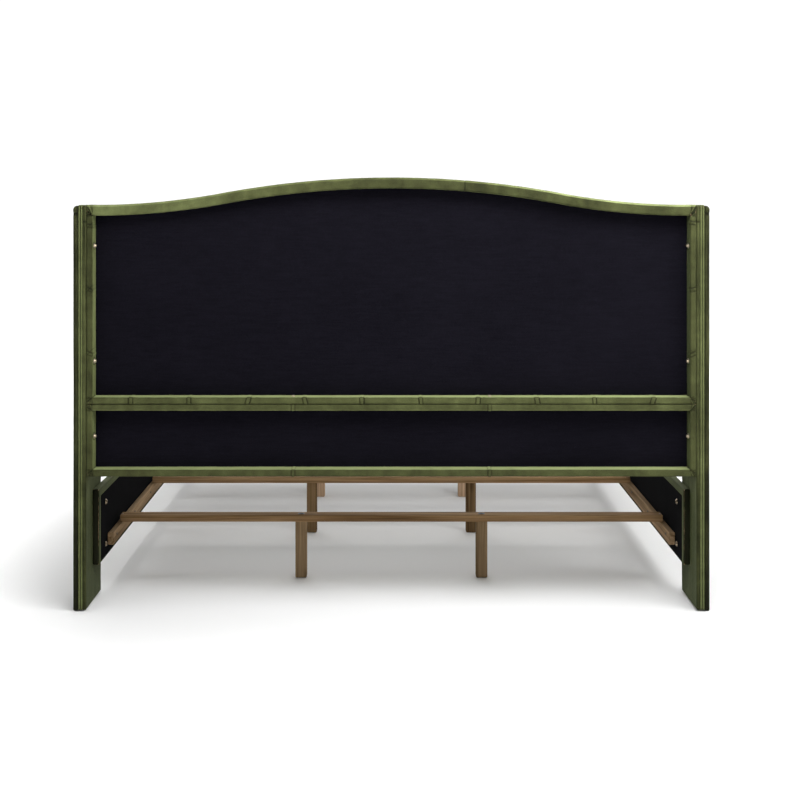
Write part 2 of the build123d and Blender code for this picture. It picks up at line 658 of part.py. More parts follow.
def slat_screw_holes(depth):
    """Holes for one slat's end screws, through the slat and into both ledgers."""
    low = SLAT_BOTTOM - SLAT_SCREW_REACH - CLEARANCE
    top = SLAT_BOTTOM + SLAT_THICKNESS
    return [sunk_hole_z(x, d, top, low, SLAT_SCREW) for x, d in slat_screw_places(depth)]


def leg(x, depth):
    """A square leg with its bottom edges chamfered."""
    half = LEG_SIDE / 2
    post = block((x - half, x + half), (depth - half, depth + half), (0, SLAT_BOTTOM))
    post = chamfer(post.faces().sort_by(Axis.Z)[0].edges(), LEG_CHAMFER)
    hole_span = (SLAT_BOTTOM - LEG_BOLT_REACH - OVERCUT, SLAT_BOTTOM + OVERCUT)
    return post - rod_z(x, depth, hole_span, LEG_BOLT[0] + CLEARANCE)


def build_slats():
    """Three cross slats on the ledgers, two legs under each."""
    bolts, screws = [], []
    top = SLAT_BOTTOM + SLAT_THICKNESS
    for name, depth in zip(SLAT_NAMES, slat_depths()):
        slat = block(
            (-SLAT_LENGTH / 2, SLAT_LENGTH / 2),
            (depth - SLAT_WIDTH / 2, depth + SLAT_WIDTH / 2),
            (SLAT_BOTTOM, top),
        )
        holes = [sunk_hole_z(x, d, top, SLAT_BOTTOM, LEG_BOLT) for x, d in leg_bolt_places(depth)]
        holes += slat_screw_holes(depth)
        save(chamfer(slat.edges().filter_by(Axis.X), SLAT_CHAMFER) - holes, f"slat_{name}")
        save(group(leg(x, d) for x, d in leg_bolt_places(depth)), f"legs_{name}")
        for x, d in leg_bolt_places(depth):
            bolts.append(sunk_fastener_z(x, d, top, SLAT_THICKNESS + LEG_BOLT_REACH, LEG_BOLT))
        for x, d in slat_screw_places(depth):
            screws.append(sunk_fastener_z(x, d, top, SLAT_THICKNESS + SLAT_SCREW_REACH, SLAT_SCREW))
    save(group(bolts), "leg_bolts")
    save(group(screws), "slat_screws")


def build_bed():
    """Every node of the bed."""
    os.makedirs("parts", exist_ok=True)
    build_upper_panel()
    build_lower_panel()
    save(headboard_screws(), "headboard_screws")
    for name, sign in SIDES.items():
        build_wing(name, sign)
        build_rail(name, sign)
    save(wing_glides(), "wing_glides")
    save(ledger_screws(), "ledger_screws")
    save(rail_bolts(), "rail_bolts")
    save(rail_inserts(), "rail_inserts")
    build_footboard()
    build_slats()


build_bed()
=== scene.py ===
import math

import bpy
import numpy as np
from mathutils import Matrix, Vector


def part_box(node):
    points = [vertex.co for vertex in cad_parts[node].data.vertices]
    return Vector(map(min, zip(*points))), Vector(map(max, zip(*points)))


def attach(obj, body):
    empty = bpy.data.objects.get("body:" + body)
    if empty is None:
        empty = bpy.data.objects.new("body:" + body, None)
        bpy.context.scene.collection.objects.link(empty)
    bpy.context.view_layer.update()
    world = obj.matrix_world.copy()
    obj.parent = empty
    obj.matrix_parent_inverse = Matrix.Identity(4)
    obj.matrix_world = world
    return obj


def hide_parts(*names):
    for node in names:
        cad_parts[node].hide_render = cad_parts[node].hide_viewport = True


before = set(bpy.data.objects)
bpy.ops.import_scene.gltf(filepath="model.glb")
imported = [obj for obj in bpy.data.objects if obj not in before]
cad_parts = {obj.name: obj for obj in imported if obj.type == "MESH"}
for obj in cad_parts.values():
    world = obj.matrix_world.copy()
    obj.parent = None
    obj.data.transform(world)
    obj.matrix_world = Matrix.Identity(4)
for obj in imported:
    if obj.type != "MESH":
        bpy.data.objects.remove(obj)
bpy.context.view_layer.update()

# King-size upholstered bed: velvet, black dust covers, pine slats and legs, brass screws. Metres. Depth is
# measured from the wings' rear faces towards the foot end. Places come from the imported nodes' boxes; what a
# box can't give (the arch, the tufting, the screws' and bolts' places) repeats the CAD's numbers.

# ---- places ----
MM = 0.001
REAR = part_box("wing_right_cover")[1].y
PANEL_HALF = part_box("upper_cover")[1].x
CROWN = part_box("upper_cover")[1].z
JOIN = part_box("upper_cover")[0].z
LOWER_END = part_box("lower_cover")[0].z
UPPER_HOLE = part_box("upper_dust_cover")
LOWER_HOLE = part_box("lower_dust_cover")
HOLE_HALF = UPPER_HOLE[1].x
UPPER_BOTTOM = UPPER_HOLE[0].z
LOWER_CORNERS = ((LOWER_HOLE[0].z, -1), (LOWER_HOLE[1].z, 1))
RECESS = REAR - UPPER_HOLE[1].y
STILE = PANEL_HALF - HOLE_HALF
UPPER_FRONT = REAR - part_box("upper_cover")[0].y
LOWER_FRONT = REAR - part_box("lower_cover")[0].y
UPPER_ROLL = 26 * MM
LOWER_ROLL = 12 * MM
WING_LOW, WING_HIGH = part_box("wing_right_cover")
WELT_SHIFT = 2 * MM
ARCH_RISE = 0.090
ARCH_HALF = 0.975
ARCH_INFLECTION = 0.556
ARCH_BAND = CROWN - UPPER_HOLE[1].z
ARCH_SEAM_X = -0.241
RAIL_SEAM_X = 0.322
BUTTON_PITCH = 0.190
BUTTON_RISE = 0.1055
BUTTON_LOW = 0.847
BUTTON_ROWS = 5
BUTTON_COLUMNS = 10
BUTTON_TOP = BUTTON_LOW + (BUTTON_ROWS - 1) * BUTTON_RISE
BUTTON_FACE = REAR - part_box("upper_buttons")[0].y
SCREW_DEPTH = 28 * MM
SCREW_HEIGHTS = (1.197, 0.817, 0.570)
SCREW_PLACES = [(s * HOLE_HALF, REAR - SCREW_DEPTH, z) for s in (-1, 1) for z in SCREW_HEIGHTS]
JOIN_SCREW_X = 0.323
JOIN_PLACES = [(s * JOIN_SCREW_X, REAR - SCREW_DEPTH, UPPER_BOTTOM) for s in (-1, 1)]
RAIL_BOLT_DEPTH = 0.207
RAIL_BOLT_HEIGHTS = (0.316, 0.172)
LEG_BOLT_HEAD = 8 * MM

# ---- velvet ----
BOTTOM, PLUS_X, TOP, MINUS_X = range(4)  # sides of a panel's frame, in the order that outline goes round
SIDE_GAP = 0.8 * MM  # the frame velvet starts this far inside the CAD cover at the sides
END_GAP = 0.6 * MM  # and this far inside it at its top and bottom
SCREW_SHADE_RADIUS = 11 * MM  # radius of the painted shade round a screw
SKIN = 1.3 * MM  # the furthest that a wing's velvet may sink without showing its post
OPENING_GAP = 0.5 * MM  # width of the step round an opening for a dust cover
OPENING_DROP = 1.5 * MM
COVER_SINK = 0.7 * MM  # how far a rail's or the footboard's dust cover lies inside the face round it

# ---- camera and light ----
CAMERA_BACK, CAMERA_HEIGHT = 4.683, 1.354
CAMERA_LENS, CAMERA_SENSOR = 64.35, 36.0
CAMERA_SHIFT = (0.0108, -0.2525)
KEY_POWER = 78.0
FILL_POWER = 268.0
FLOOR_LIGHT = 3.4  # watts for each square metre of floor panel
PANEL_HEIGHT = 4.0
PANEL_SPREAD = 25
FLOOR_PANELS = (
    ((-25, 25), (-30, -1.9)),
    ((-25, 25), (1.9, 14)),
    ((-25, -1.4), (-1.9, 1.9)),
    ((1.4, 25), (-1.9, 1.9)),
)
FLOOR_SIDE, FLOOR_NEAR, FLOOR_FAR = 24.0, 13.0, -29.0
WORLD_LIGHT = 0.37
BACKDROP_LIGHT = 1.1


# ---- mesh helpers ----
def grid_faces(rows, columns, closed=False):
    """Quads of a grid of points stored row by row; closed joins the last column to the first."""
    row = np.arange(rows - 1)[:, None]
    column = np.arange(columns if closed else columns - 1)[None, :]
    beside = (column + 1) % columns
    a, b = row * columns + column, row * columns + beside
    return np.stack([a, b, b + columns, a + columns], -1).reshape(-1, 4)


def face_normals(points, faces):
    """Area-weighted normal of each face."""
    across = points[faces[:, 2]] - points[faces[:, 0]]
    along = points[faces[:, 3]] - points[faces[:, 1]]
    return np.cross(across, along)


def outward(points, faces, centre):
    """The faces, turned so that most of them face away from centre."""
    mids = points[faces].mean(1) - np.array(centre)
    return faces if (face_normals(points, faces) * mids).sum() > 0 else faces[:, ::-1]


def push(points, faces, height):
    """The points moved along their normals by height."""
    total = np.zeros_like(points)
    normal = face_normals(points, faces)
    for k in range(4):
        np.add.at(total, faces[:, k], normal)
    total /= np.maximum(np.linalg.norm(total, axis=1, keepdims=True), 1e-12)
    return points + total * np.asarray(height)[:, None]


def unit(value):
    """The value held between 0 and 1."""
    return np.clip(value, 0, 1)


def ripple(points, length, seed, squeeze=(1, 1, 1), waves=10):
    """Smooth random height, about -1 to 1, with bumps about length apart, stretched by squeeze."""
    random = np.random.default_rng(seed)
    total = np.zeros(len(points))
    for _ in range(waves):
        way = random.normal(size=3)
        way *= np.array(squeeze) / np.linalg.norm(way)
        turns = points @ way * 2 * math.pi / (length * random.uniform(0.7, 1.5))
        total += np.sin(turns + random.uniform(0, 7))
    return total / math.sqrt(2 * waves)


def bump(distance, width):
    """A smooth bump, 1 at distance 0."""
    return np.exp(-((distance / width) ** 2))


def tuck(distance, half, edge=1.7 * MM):
    """A flat pressed tuck: (its raised band, the creases at its two edges)."""
    band = 1 / (1 + np.exp(np.clip((np.abs(distance) - half) / (0.6 * MM), -30, 30)))
    return band, np.maximum(bump(distance - half, edge), 0.75 * bump(distance + half, edge))


def fold(distance, width):
    """A pressed pleat: it rises gently to its edge at distance 0 and drops sharply behind it."""
    return np.where(distance < 0, np.exp(np.minimum(distance, 0) / width), bump(distance, 0.22 * width))


def piece(name, points, faces, material, slot, replaces, nap_and_painted_light=0.0):
    """A mesh object that rides on the bed and stands for the CAD nodes that it replaces. For velvet the last
    argument is the lie of its pile together with painted light and shade, one value or one for each point:
    below 0 it looks darker, above 0 lighter."""
    mesh = bpy.data.meshes.new(name)
    mesh.from_pydata(points.tolist(), [], [f.tolist() for f in faces])
    mesh.shade_smooth()
    mesh.materials.append(material)
    if material is velvet:
        lie_and_painted_light = np.broadcast_to(np.asarray(nap_and_painted_light, np.float32), len(points))
        held = mesh.attributes.new("nap_and_painted_light", "FLOAT", "POINT").data
        held.foreach_set("value", np.ascontiguousarray(lie_and_painted_light))
    made = bpy.data.objects.new(name, mesh)
    bpy.context.scene.collection.objects.link(made)
    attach(made, "root")
    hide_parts(*replaces)
    return made


def padded_velvet(name, points, faces, replaces, nap_and_painted_light=0.0):
    """A velvet piece that is a pad."""
    piece(name, points, faces, velvet, "velvet", replaces, nap_and_painted_light)


def joined(parts):
    """Several (points, faces) as one."""
    starts = np.cumsum([0] + [len(points) for points, _ in parts])
    faces = [faces + start for (_, faces), start in zip(parts, starts)]
    return np.concatenate([points for points, _ in parts]), np.concatenate(faces)


def flat_grid(rows, columns, axes, at):
    """A flat grid of points and its faces: axes are those of its rows, its columns and its place at."""
    points = np.empty((len(rows), len(columns), 3))
    for axis, places in zip(axes, (rows[:, None], columns[None, :], at)):
        points[..., axis] = places
    return points.reshape(-1, 3), grid_faces(len(rows), len(columns))


def cuts(low, high, radius, step, extra):
    """Places of a box's grid lines along one axis: fine over the rounded edges, even between them."""
    edge = radius * np.array([0, 0.12, 0.3, 0.55, 0.8, 1])
    middle = np.linspace(low + radius, high - radius, max(2, round((high - low - 2 * radius) / step)))
    return np.unique(np.round(np.concatenate([low + edge, middle, high - edge, np.array(extra)]), 6))


def soft_box(low, high, radius, steps, extras):
    """A box with rounded edges as one closed grid of quads, with extra grid lines along each axis."""
    low, high = np.array(low, float), np.array(high, float)
    lines = [cuts(low[k], high[k], radius, steps[k], extras[k]) for k in range(3)]
    parts = []
    for u, v, axis in ((1, 2, 0), (0, 2, 1), (0, 1, 2)):
        for at in (low[axis], high[axis]):
            side, quads = flat_grid(lines[u], lines[v], (u, v, axis), at)
            parts.append((side, outward(side, quads, (low + high) / 2)))
    points, faces = joined(parts)
    place = np.round(points * 1e5).astype(np.int64)
    _, first, back = np.unique(place, axis=0, return_index=True, return_inverse=True)
    points, faces = points[first], back.reshape(-1)[faces]
    core = np.clip(points, low + radius, high - radius)
    away = points - core
    away /= np.maximum(np.linalg.norm(away, axis=1, keepdims=True), 1e-12)
    return core + away * radius, faces


def lathe(profile, centre, axis, segments=32, shape=None):
    """A turned part from (radius, distance along axis) pairs. shape(angle, radius) may change a ring."""
    axis = np.array(axis, float)
    side = np.cross(axis, (0.31, 0.27, 0.91))
    side /= np.linalg.norm(side)
    other = np.cross(axis, side)
    angle = np.arange(segments) * 2 * math.pi / segments
    rows = []
    for radius, along in profile:
        r = radius if shape is None else shape(angle, radius)
        ring = np.outer(np.cos(angle) * r, side) + np.outer(np.sin(angle) * r, other)
        rows.append(np.array(centre) + axis * along + ring)
    points = np.concatenate(rows)
    return points, grid_faces(len(profile), segments, closed=True)


# ---- material helpers ----
class Nodes:
    """Short names for building one material's node tree."""

    def __init__(self, name):
        self.material = bpy.data.materials.new(name)
        self.material.use_nodes = True
        self.tree = self.material.node_tree
        self.shader = self.tree.nodes["Principled BSDF"]
        self.place = self.add("TexCoord").outputs["Object"]

    def add(self, kind, **settings):
        node = self.tree.nodes.new("ShaderNode" + kind)
        for key, value in settings.items():
            setattr(node, key, value)
        return node

    def put(self, socket, value):
        """Sets a socket to a number or colour, or links another node's output to it."""
        if isinstance(value, bpy.types.NodeSocket):
            self.tree.links.new(value, socket)
        else:
            socket.default_value = value

    def feed(self, node, **values):
        """Puts values into a node's inputs, with _ for a space in their names, and gives its outputs."""
        for key, value in values.items():
            self.put(node.inputs[key.replace("_", " ")], value)
        return node.outputs

    def set(self, **values):
        self.feed(self.shader, **values)

    def stretched(self, scale):
        """Object coordinates scaled along each axis."""
        return self.feed(self.add("Mapping"), Scale=scale, Vector=self.place)["Vector"]

    def noise(self, scale, detail=3.0, vector=None, distortion=0.0):
        values = dict(Scale=scale, Detail=detail, Distortion=distortion, Vector=vector or self.place)
        return self.feed(self.add("TexNoise"), **values)["Fac"]

    def cells(self, scale, vector):
        """Distance from the middle of random cells."""
        return self.feed(self.add("TexVoronoi", feature="F1"), Scale=scale, Vector=vector)["Distance"]

    def math(self, operation, a, b):
        node = self.add("Math", operation=operation)
        self.put(node.inputs[0], a)
        self.put(node.inputs[1], b)
        return node.outputs[0]

    def mix(self, parts):
        """A weighted sum of noise values."""
        total = None
        for value, weight in parts:
            term = self.math("MULTIPLY", value, weight)
            total = term if total is None else self.math("ADD", total, term)
        return total

    def colour(self, value, stops):
        """Base colour from a ramp of (position, colour) stops."""
        node = self.add("ValToRGB")
        elements = node.color_ramp.elements
        while len(elements) < len(stops):
            elements.new(1.0)
        for element, (at, colour) in zip(elements, stops):
            element.position = at
            element.color = (*colour, 1)
        self.set(Base_Color=self.feed(node, Fac=value)["Color"])

    def roughness(self, value, low, high):
        self.set(Roughness=self.feed(self.add("MapRange"), Value=value, To_Min=low, To_Max=high)["Result"])

    def raise_by(self, height, distance, strength=1.0):
        bump_node = self.add("Bump")
        self.set(Normal=self.feed(bump_node, Strength=strength, Distance=distance, Height=height)["Normal"])


# ---- materials ----
def velvet_material():
    """Olive velvet: a short pile brushed into soft lighter and darker patches, with a faint sheen; each
    piece's pile attribute adds painted light and shade to its colour.
    """
    n = Nodes("olive_velvet")
    brushed = n.noise(13.0, 4.0, n.stretched((1.0, 1.0, 0.45)), 0.6)
    patches = n.noise(34.0, 3.0)
    pile = n.noise(750.0, 2.0)
    # The attribute holds each piece's pile lie and painted light and shade: painted shade in creases, gaps,
    # recesses and low parts, painted highlights on lit edges and tops.
    nap_and_painted_light = n.add("Attribute", attribute_name="nap_and_painted_light").outputs["Fac"]
    shade = n.mix(((brushed, 0.36), (patches, 0.28), (pile, 0.36), (nap_and_painted_light, 0.25)))
    n.colour(shade, (
        (0.10, (0.0085, 0.0092, 0.0034)),
        (0.30, (0.0270, 0.0297, 0.0106)),
        (0.50, (0.0640, 0.0710, 0.0258)),
        (0.75, (0.140, 0.162, 0.063)),
        (1.00, (0.300, 0.345, 0.155)),
    ))
    n.roughness(patches, 0.72, 0.92)
    n.set(Specular_IOR_Level=0.10, Sheen_Weight=0.18, Sheen_Roughness=0.34, Sheen_Tint=(0.66, 0.80, 0.34, 1))
    n.raise_by(n.mix(((pile, 0.5), (patches, 0.5))), 1.1 * MM, 0.5)
    return n.material


def cambric_material(name, light):
    """Black non-woven dust-cover cloth, with a faint weave of emboss points and a cool cast."""
    n = Nodes(name)
    dots = n.cells(330.0, n.stretched((1.0, 0.2, 1.35)))
    threads = n.noise(26.0, 4.0, n.stretched((0.6, 1.0, 7.0)))
    clouds = n.noise(3.5, 3.0)
    shade = n.mix(((dots, 0.35), (threads, 0.4), (clouds, 0.25)))
    low, high = (0.0022, 0.0021, 0.0033), (0.0072, 0.0067, 0.0102)
    n.colour(shade, ((0.25, tuple(light * v for v in low)), (0.75, tuple(light * v for v in high))))
    n.roughness(threads, 0.86, 0.98)
    n.set(Specular_IOR_Level=0.015, Sheen_Weight=0.004, Sheen_Roughness=0.5)
    n.raise_by(n.mix(((dots, 0.6), (threads, 0.4))), 0.35 * MM, 0.6)
    return n.material


def wood_material(name, dark, light, along, roughness=(0.74, 0.90), specular=0.04, painted_top_shade=0.0):
    """Solid softwood: growth lines stretched along one axis, pores and knots, and painted shade on upward
    faces set by the last argument.
    """
    n = Nodes(name)

    def along_grain(across, length):
        scale = [across] * 3
        scale[along] = length
        return n.stretched(scale)

    flow = n.noise(1.0, 4.0, along_grain(26.0, 1.1), 0.4)
    pores = n.noise(1.0, 2.0, along_grain(420.0, 9.0))
    lines = n.noise(1.0, 1.0, along_grain(70.0, 1.6), 1.2)
    spots = n.cells(1.0, along_grain(9.0, 4.0))
    knots = n.feed(n.add("MapRange"), Value=spots, From_Min=0.05, From_Max=0.16, To_Min=1.0, To_Max=0.0)
    facing = n.feed(n.add("SeparateXYZ"), Vector=n.add("TexCoord").outputs["Normal"])
    # Upward faces darkened: painted shade.
    up = n.math("MAXIMUM", facing["Z"], 0.0)
    grain = ((flow, 0.45), (lines, 0.37), (pores, 0.18))
    shade = n.mix((*grain, (knots["Result"], -0.16), (up, -painted_top_shade)))
    middle = tuple((a + b) / 2 for a, b in zip(dark, light))
    n.colour(shade, ((0.30, tuple(0.55 * v for v in dark)), (0.38, dark), (0.50, middle), (0.62, light)))
    n.roughness(flow, *roughness)
    n.set(Specular_IOR_Level=specular)
    n.raise_by(n.mix(((pores, 0.6), (lines, 0.4))), 0.5 * MM, 0.5)
    return n.material


def plywood_material():
    """Plywood: thin plies across its thickness and a calm face grain."""
    n = Nodes("plywood")
    wave = n.add("TexWave", bands_direction="Y")
    plies = n.feed(wave, Scale=50.0, Distortion=0.3, Detail=2.0, Vector=n.place)["Fac"]
    grain = n.noise(1.0, 3.0, n.stretched((3.0, 40.0, 60.0)))
    n.colour(n.mix(((plies, 0.5), (grain, 0.5))), ((0.2, (0.24, 0.15, 0.075)), (0.8, (0.48, 0.34, 0.19))))
    n.roughness(grain, 0.6, 0.8)
    return n.material


def fine_material(name, scale, low, high, roughness, relief, strength):
    """A plain material with a fine even grain: foam's open cells or moulded plastic."""
    n = Nodes(name)
    grain = n.noise(scale, 2.0)
    n.colour(grain, ((0.3, low), (0.7, high)))
    n.roughness(grain, *roughness)
    n.raise_by(grain, relief, strength)
    return n.material


def metal_material(name, colour, worn, roughness):
    """Plated metal with faint handling marks."""
    n = Nodes(name)
    marks = n.noise(180.0, 4.0)
    clouds = n.noise(40.0, 2.0)
    n.colour(n.mix(((marks, 0.4), (clouds, 0.6))), ((0.35, worn), (0.6, colour)))
    n.roughness(marks, *roughness)
    n.set(Metallic=1.0)
    n.raise_by(marks, 0.08 * MM, 0.4)
    return n.material


X_AXIS, Y_AXIS, Z_AXIS = 0, 1, 2
velvet = velvet_material()
cambric = cambric_material("black_cambric", 1.12)
# A darker copy of the same cloth for the rails' inner faces: painted shade.
shaded_rail_cambric = cambric_material("black_cambric_painted_shade", 0.2)
# The slats' top faces get painted shade.
slat_wood = wood_material("slat_pine", (0.172, 0.098, 0.043), (0.420, 0.272, 0.142), X_AXIS, painted_top_shade=0.03)
leg_wood = wood_material("leg_pine", (0.120, 0.078, 0.040), (0.360, 0.248, 0.138), Z_AXIS)
# Darker and lighter copies of the leg pine: painted shade on the middle legs, painted light on the foot legs.
shaded_leg_wood = wood_material("shaded_leg_pine", (0.082, 0.048, 0.022), (0.250, 0.160, 0.080), Z_AXIS)
lit_leg_wood = wood_material("lit_leg_pine", (0.300, 0.195, 0.118), (0.640, 0.450, 0.300), Z_AXIS)
ledger_wood = wood_material("ledger_pine", (0.150, 0.092, 0.044), (0.390, 0.265, 0.150), Y_AXIS)
pine = (0.30, 0.19, 0.10), (0.55, 0.39, 0.23)
board_wood = wood_material("frame_pine", *pine, X_AXIS)
post_wood = wood_material("post_pine", *pine, Z_AXIS)
walnut = (0.020, 0.012, 0.007), (0.060, 0.036, 0.020)
dark_wood = wood_material("walnut_stain", *walnut, Z_AXIS, (0.32, 0.46), 0.35)
plywood = plywood_material()
foam = fine_material("foam", 600.0, (0.52, 0.44, 0.26), (0.72, 0.64, 0.42), (0.85, 1.0), 0.6 * MM, 1.0)
brass = metal_material("pale_brass", (0.62, 0.53, 0.39), (0.34, 0.28, 0.19), (0.26, 0.42))
dull_brass = metal_material("dull_brass", (0.34, 0.27, 0.18), (0.10, 0.08, 0.055), (0.16, 0.32))
steel = metal_material("zinc_steel", (0.42, 0.41, 0.39), (0.25, 0.24, 0.23), (0.30, 0.50))
dark_steel = metal_material("blackened_steel", (0.060, 0.058, 0.055), (0.030, 0.029, 0.028), (0.38, 0.55))
dark, grey = (0.012, 0.012, 0.012), (0.028, 0.027, 0.026)
plastic = fine_material("dark_plastic", 900.0, dark, grey, (0.42, 0.60), 0.1 * MM, 0.5)

# The first start of a name that fits gives a carried-over node its material.
NODE_MATERIALS = (
    (steel, ("slat_screws", "rail_inserts")),
    (slat_wood, ("slat_",)),
    (leg_wood, ("legs_head",)),
    (shaded_leg_wood, ("legs_middle",)),
    (lit_leg_wood, ("legs_foot",)),
    (dark_steel, ("leg_bolts", "ledger_screws", "footboard_brackets", "footboard_bolts")),
    (brass, ("rail_bolts", "headboard_screws")),
    (plastic, ("wing_glides",)),
    (dark_wood, ("footboard_feet",)),
    (plywood, ("footboard_board", "upper_backing_panel", "lower_backing_panel")),
    (ledger_wood, ("rail_left_ledger", "rail_right_ledger")),
    (board_wood, ("rail_left_board", "rail_right_board")),
    (post_wood, ("footboard_dowels", "upper_stile", "lower_stile", "wing_")),
    (board_wood, ("upper_", "lower_")),
    (foam, ("",)),
)


def finish_nodes():
    """A material for every CAD node that stays in view."""
    for name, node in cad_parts.items():
        material = next(m for m, starts in NODE_MATERIALS if name.startswith(starts))
        for held in node.material_slots:
            held.material = material


# ---- headboard shapes ----
def arch(x, inset):
    """Height of the arched top edge at x, moved inwards by inset: a crown between two hollows."""
    turn = 2 * math.atan(ARCH_RISE / ARCH_HALF)
    crown = ARCH_INFLECTION / math.sin(turn)
    hollow = (ARCH_HALF - ARCH_INFLECTION) / math.sin(turn)
    x = np.minimum(np.abs(x), ARCH_HALF)
    on_crown = CROWN - crown + np.sqrt(np.maximum((crown - inset) ** 2 - x**2, 0))
    on_hollow = CROWN - ARCH_RISE + hollow - np.sqrt((hollow + inset) ** 2 - (ARCH_HALF - x) ** 2)
    return np.where(x <= (crown - inset) * math.sin(turn), on_crown, on_hollow)


def flat_top(x, inset):
    """Height of the lower panel's straight top edge."""
    return np.full_like(np.asarray(x, float), JOIN - inset)


def outline(half, low, top, inset, step):
    """X, Z and side number of points round a panel, the same count for every inset (side, bottom, top)."""
    side, bottom, over = inset
    full = [2 * half, float(top(half, 0)) - low, 2 * half, float(top(half, 0)) - low]
    counts = [round(length / step) for length in full]
    share = [np.arange(count) / count for count in counts]
    x_in, z_in = half - side, low + bottom
    z_top = float(top(x_in, over))
    right = x_in * (2 * share[0] - 1)
    left = x_in * (1 - 2 * share[2])
    up = z_in + (z_top - z_in) * share[1]
    down = z_top + (z_in - z_top) * share[3]
    xs = [right, np.full(counts[1], x_in), left, np.full(counts[3], -x_in)]
    zs = [np.full(counts[0], z_in), up, top(left, over), down]
    number = np.concatenate([np.full(count, k) for k, count in enumerate(counts)])
    return np.concatenate(xs), np.concatenate(zs), number


def wrap_profile(front, reveal, turn, corner):
    """(share of the frame's width, depth) from the front edge, round the rear face, to the recess floor."""
    angle = np.linspace(0, math.pi / 2, 6)
    wall = [(0.0, d) for d in np.arange(front, corner + 2 * MM, -4 * MM)]
    out = [(turn * (1 - math.cos(a)), corner * (1 - math.sin(a))) for a in angle]
    face = [(t, 0.0) for t in np.linspace(turn, 1 - turn, 14)[1:-1]]
    back = [(1 - turn * (1 - math.sin(a)), corner * (1 - math.cos(a))) for a in angle]
    inner = [(1.0, d) for d in np.linspace(corner, reveal, 15)[1:]]
    return np.array(wall + out + face + back + inner)


def frame_wrap(panel, low, top, inset, front, relief, lie_and_painted_light):
    """Velvet pulled round a panel's frame boards: relief gives its folds and their painted shade, the
    last argument the lie of its pile and the painted light on each side.
    """
    side_in, bottom_in, top_in = inset
    half, low_end = PANEL_HALF - SIDE_GAP, low + END_GAP
    step = 2.2 * MM
    x_out, z_out, number = outline(half, low_end, top, (0, 0, END_GAP), step)
    x_in, z_in, _ = outline(half, low_end, top, (side_in - SIDE_GAP, bottom_in - END_GAP, top_in), step)
    profile = wrap_profile(front, RECESS, 0.2, 3.6 * MM)
    t, depth = profile[:, :1], profile[:, 1:]
    x = x_out * (1 - t) + x_in * t
    z = z_out * (1 - t) + z_in * t
    points = np.stack([x, np.broadcast_to(REAR - depth, x.shape), z], -1).reshape(-1, 3)
    quads = grid_faces(len(profile), len(x_out), closed=True)
    faces = outward(points, quads, (0, REAR - 0.05, (low + JOIN) / 2))
    side, share, deep = (np.broadcast_to(v, x.shape).reshape(-1) for v in (number, t, depth))
    height, fold_shade = relief(points, side, share, deep)
    # Painted shade on the outer wall where the frame meets a wing or the other panel, in a ring round each
    # screw and along the creases; painted highlights where the fold shade is below 0.
    shut = (share < 0.04) & ((side != TOP) | (low < JOIN))
    gap = unit(deep / (4 * MM)) * shut
    dark = screw_ring_shade(points, SCREW_PLACES, SCREW_SHADE_RADIUS)
    nap_and_painted_light = lie_and_painted_light(points[:, 0], side, share, deep) - 1.8 * fold_shade - 1.9 * gap - 2.2 * dark
    height += 0.28 * MM * ripple(points, 0.030, 3) + 0.16 * MM * ripple(points, 0.011, 4)
    points = push(points, faces, height)
    piece(f"{panel}_frame_velvet", points, faces, velvet, "velvet", (f"{panel}_cover",), nap_and_painted_light)


def corner_folds(points, corners, amount):
    """(height, painted fold shade) of a mitred seam at each corner, with gathers amount high that fan out of
    it.
    """
    height, fold_shade = np.zeros(len(points)), np.zeros(len(points))
    for number, (x, z, out_x, out_z) in enumerate(corners):
        sewn = 1.0 if out_z > 0 and amount > 2 * MM else 0.65
        dx, dz = (points[:, 0] - x) * out_x, (points[:, 2] - z) * out_z
        near, angle = np.hypot(dx, dz), np.arctan2(dz, dx)
        outside = (dx > -2 * MM) & (dz > -2 * MM)
        mitre = bump(near * np.sin(angle - 0.72 - 0.08 * (number % 2)), 1.5 * MM) * outside
        fade = np.exp(-((near - 8 * MM) / (26 * MM)) ** 2) * outside
        gathers = np.sin(angle * 15 + number + 60 * near) * 0.6 + np.sin(angle * 27 + 2 * number) * 0.4
        height += amount * gathers * fade - 1.2 * MM * sewn * mitre
        # Painted shade in the mitre and in the gathers' dips, painted highlights on their crests.
        dips = amount / (1.1 * MM) * unit(-gathers) * fade
        fold_shade = np.maximum(fold_shade, np.maximum(1.2 * sewn * mitre, dips))
        fold_shade -= 0.35 * unit(gathers) * fade
    return height, fold_shade


def add_folds(height, fold_shade, points, corners, amount):
    """A panel's (height, painted fold shade) with its corner folds added."""
    raised, lines = corner_folds(points, corners, amount)
    return height + raised, np.where(lines > 0, np.maximum(fold_shade, lines), fold_shade + lines)


def screw_ring_shade(points, places, radius):
    """1 within a radius of each screw, fading past it: painted shade round the screw heads."""
    dark = np.zeros(len(points))
    for place in places:
        away = np.linalg.norm(points - np.array(place), axis=1)
        dark = np.maximum(dark, bump(np.maximum(away - radius, 0), 2.5 * MM))
    return dark


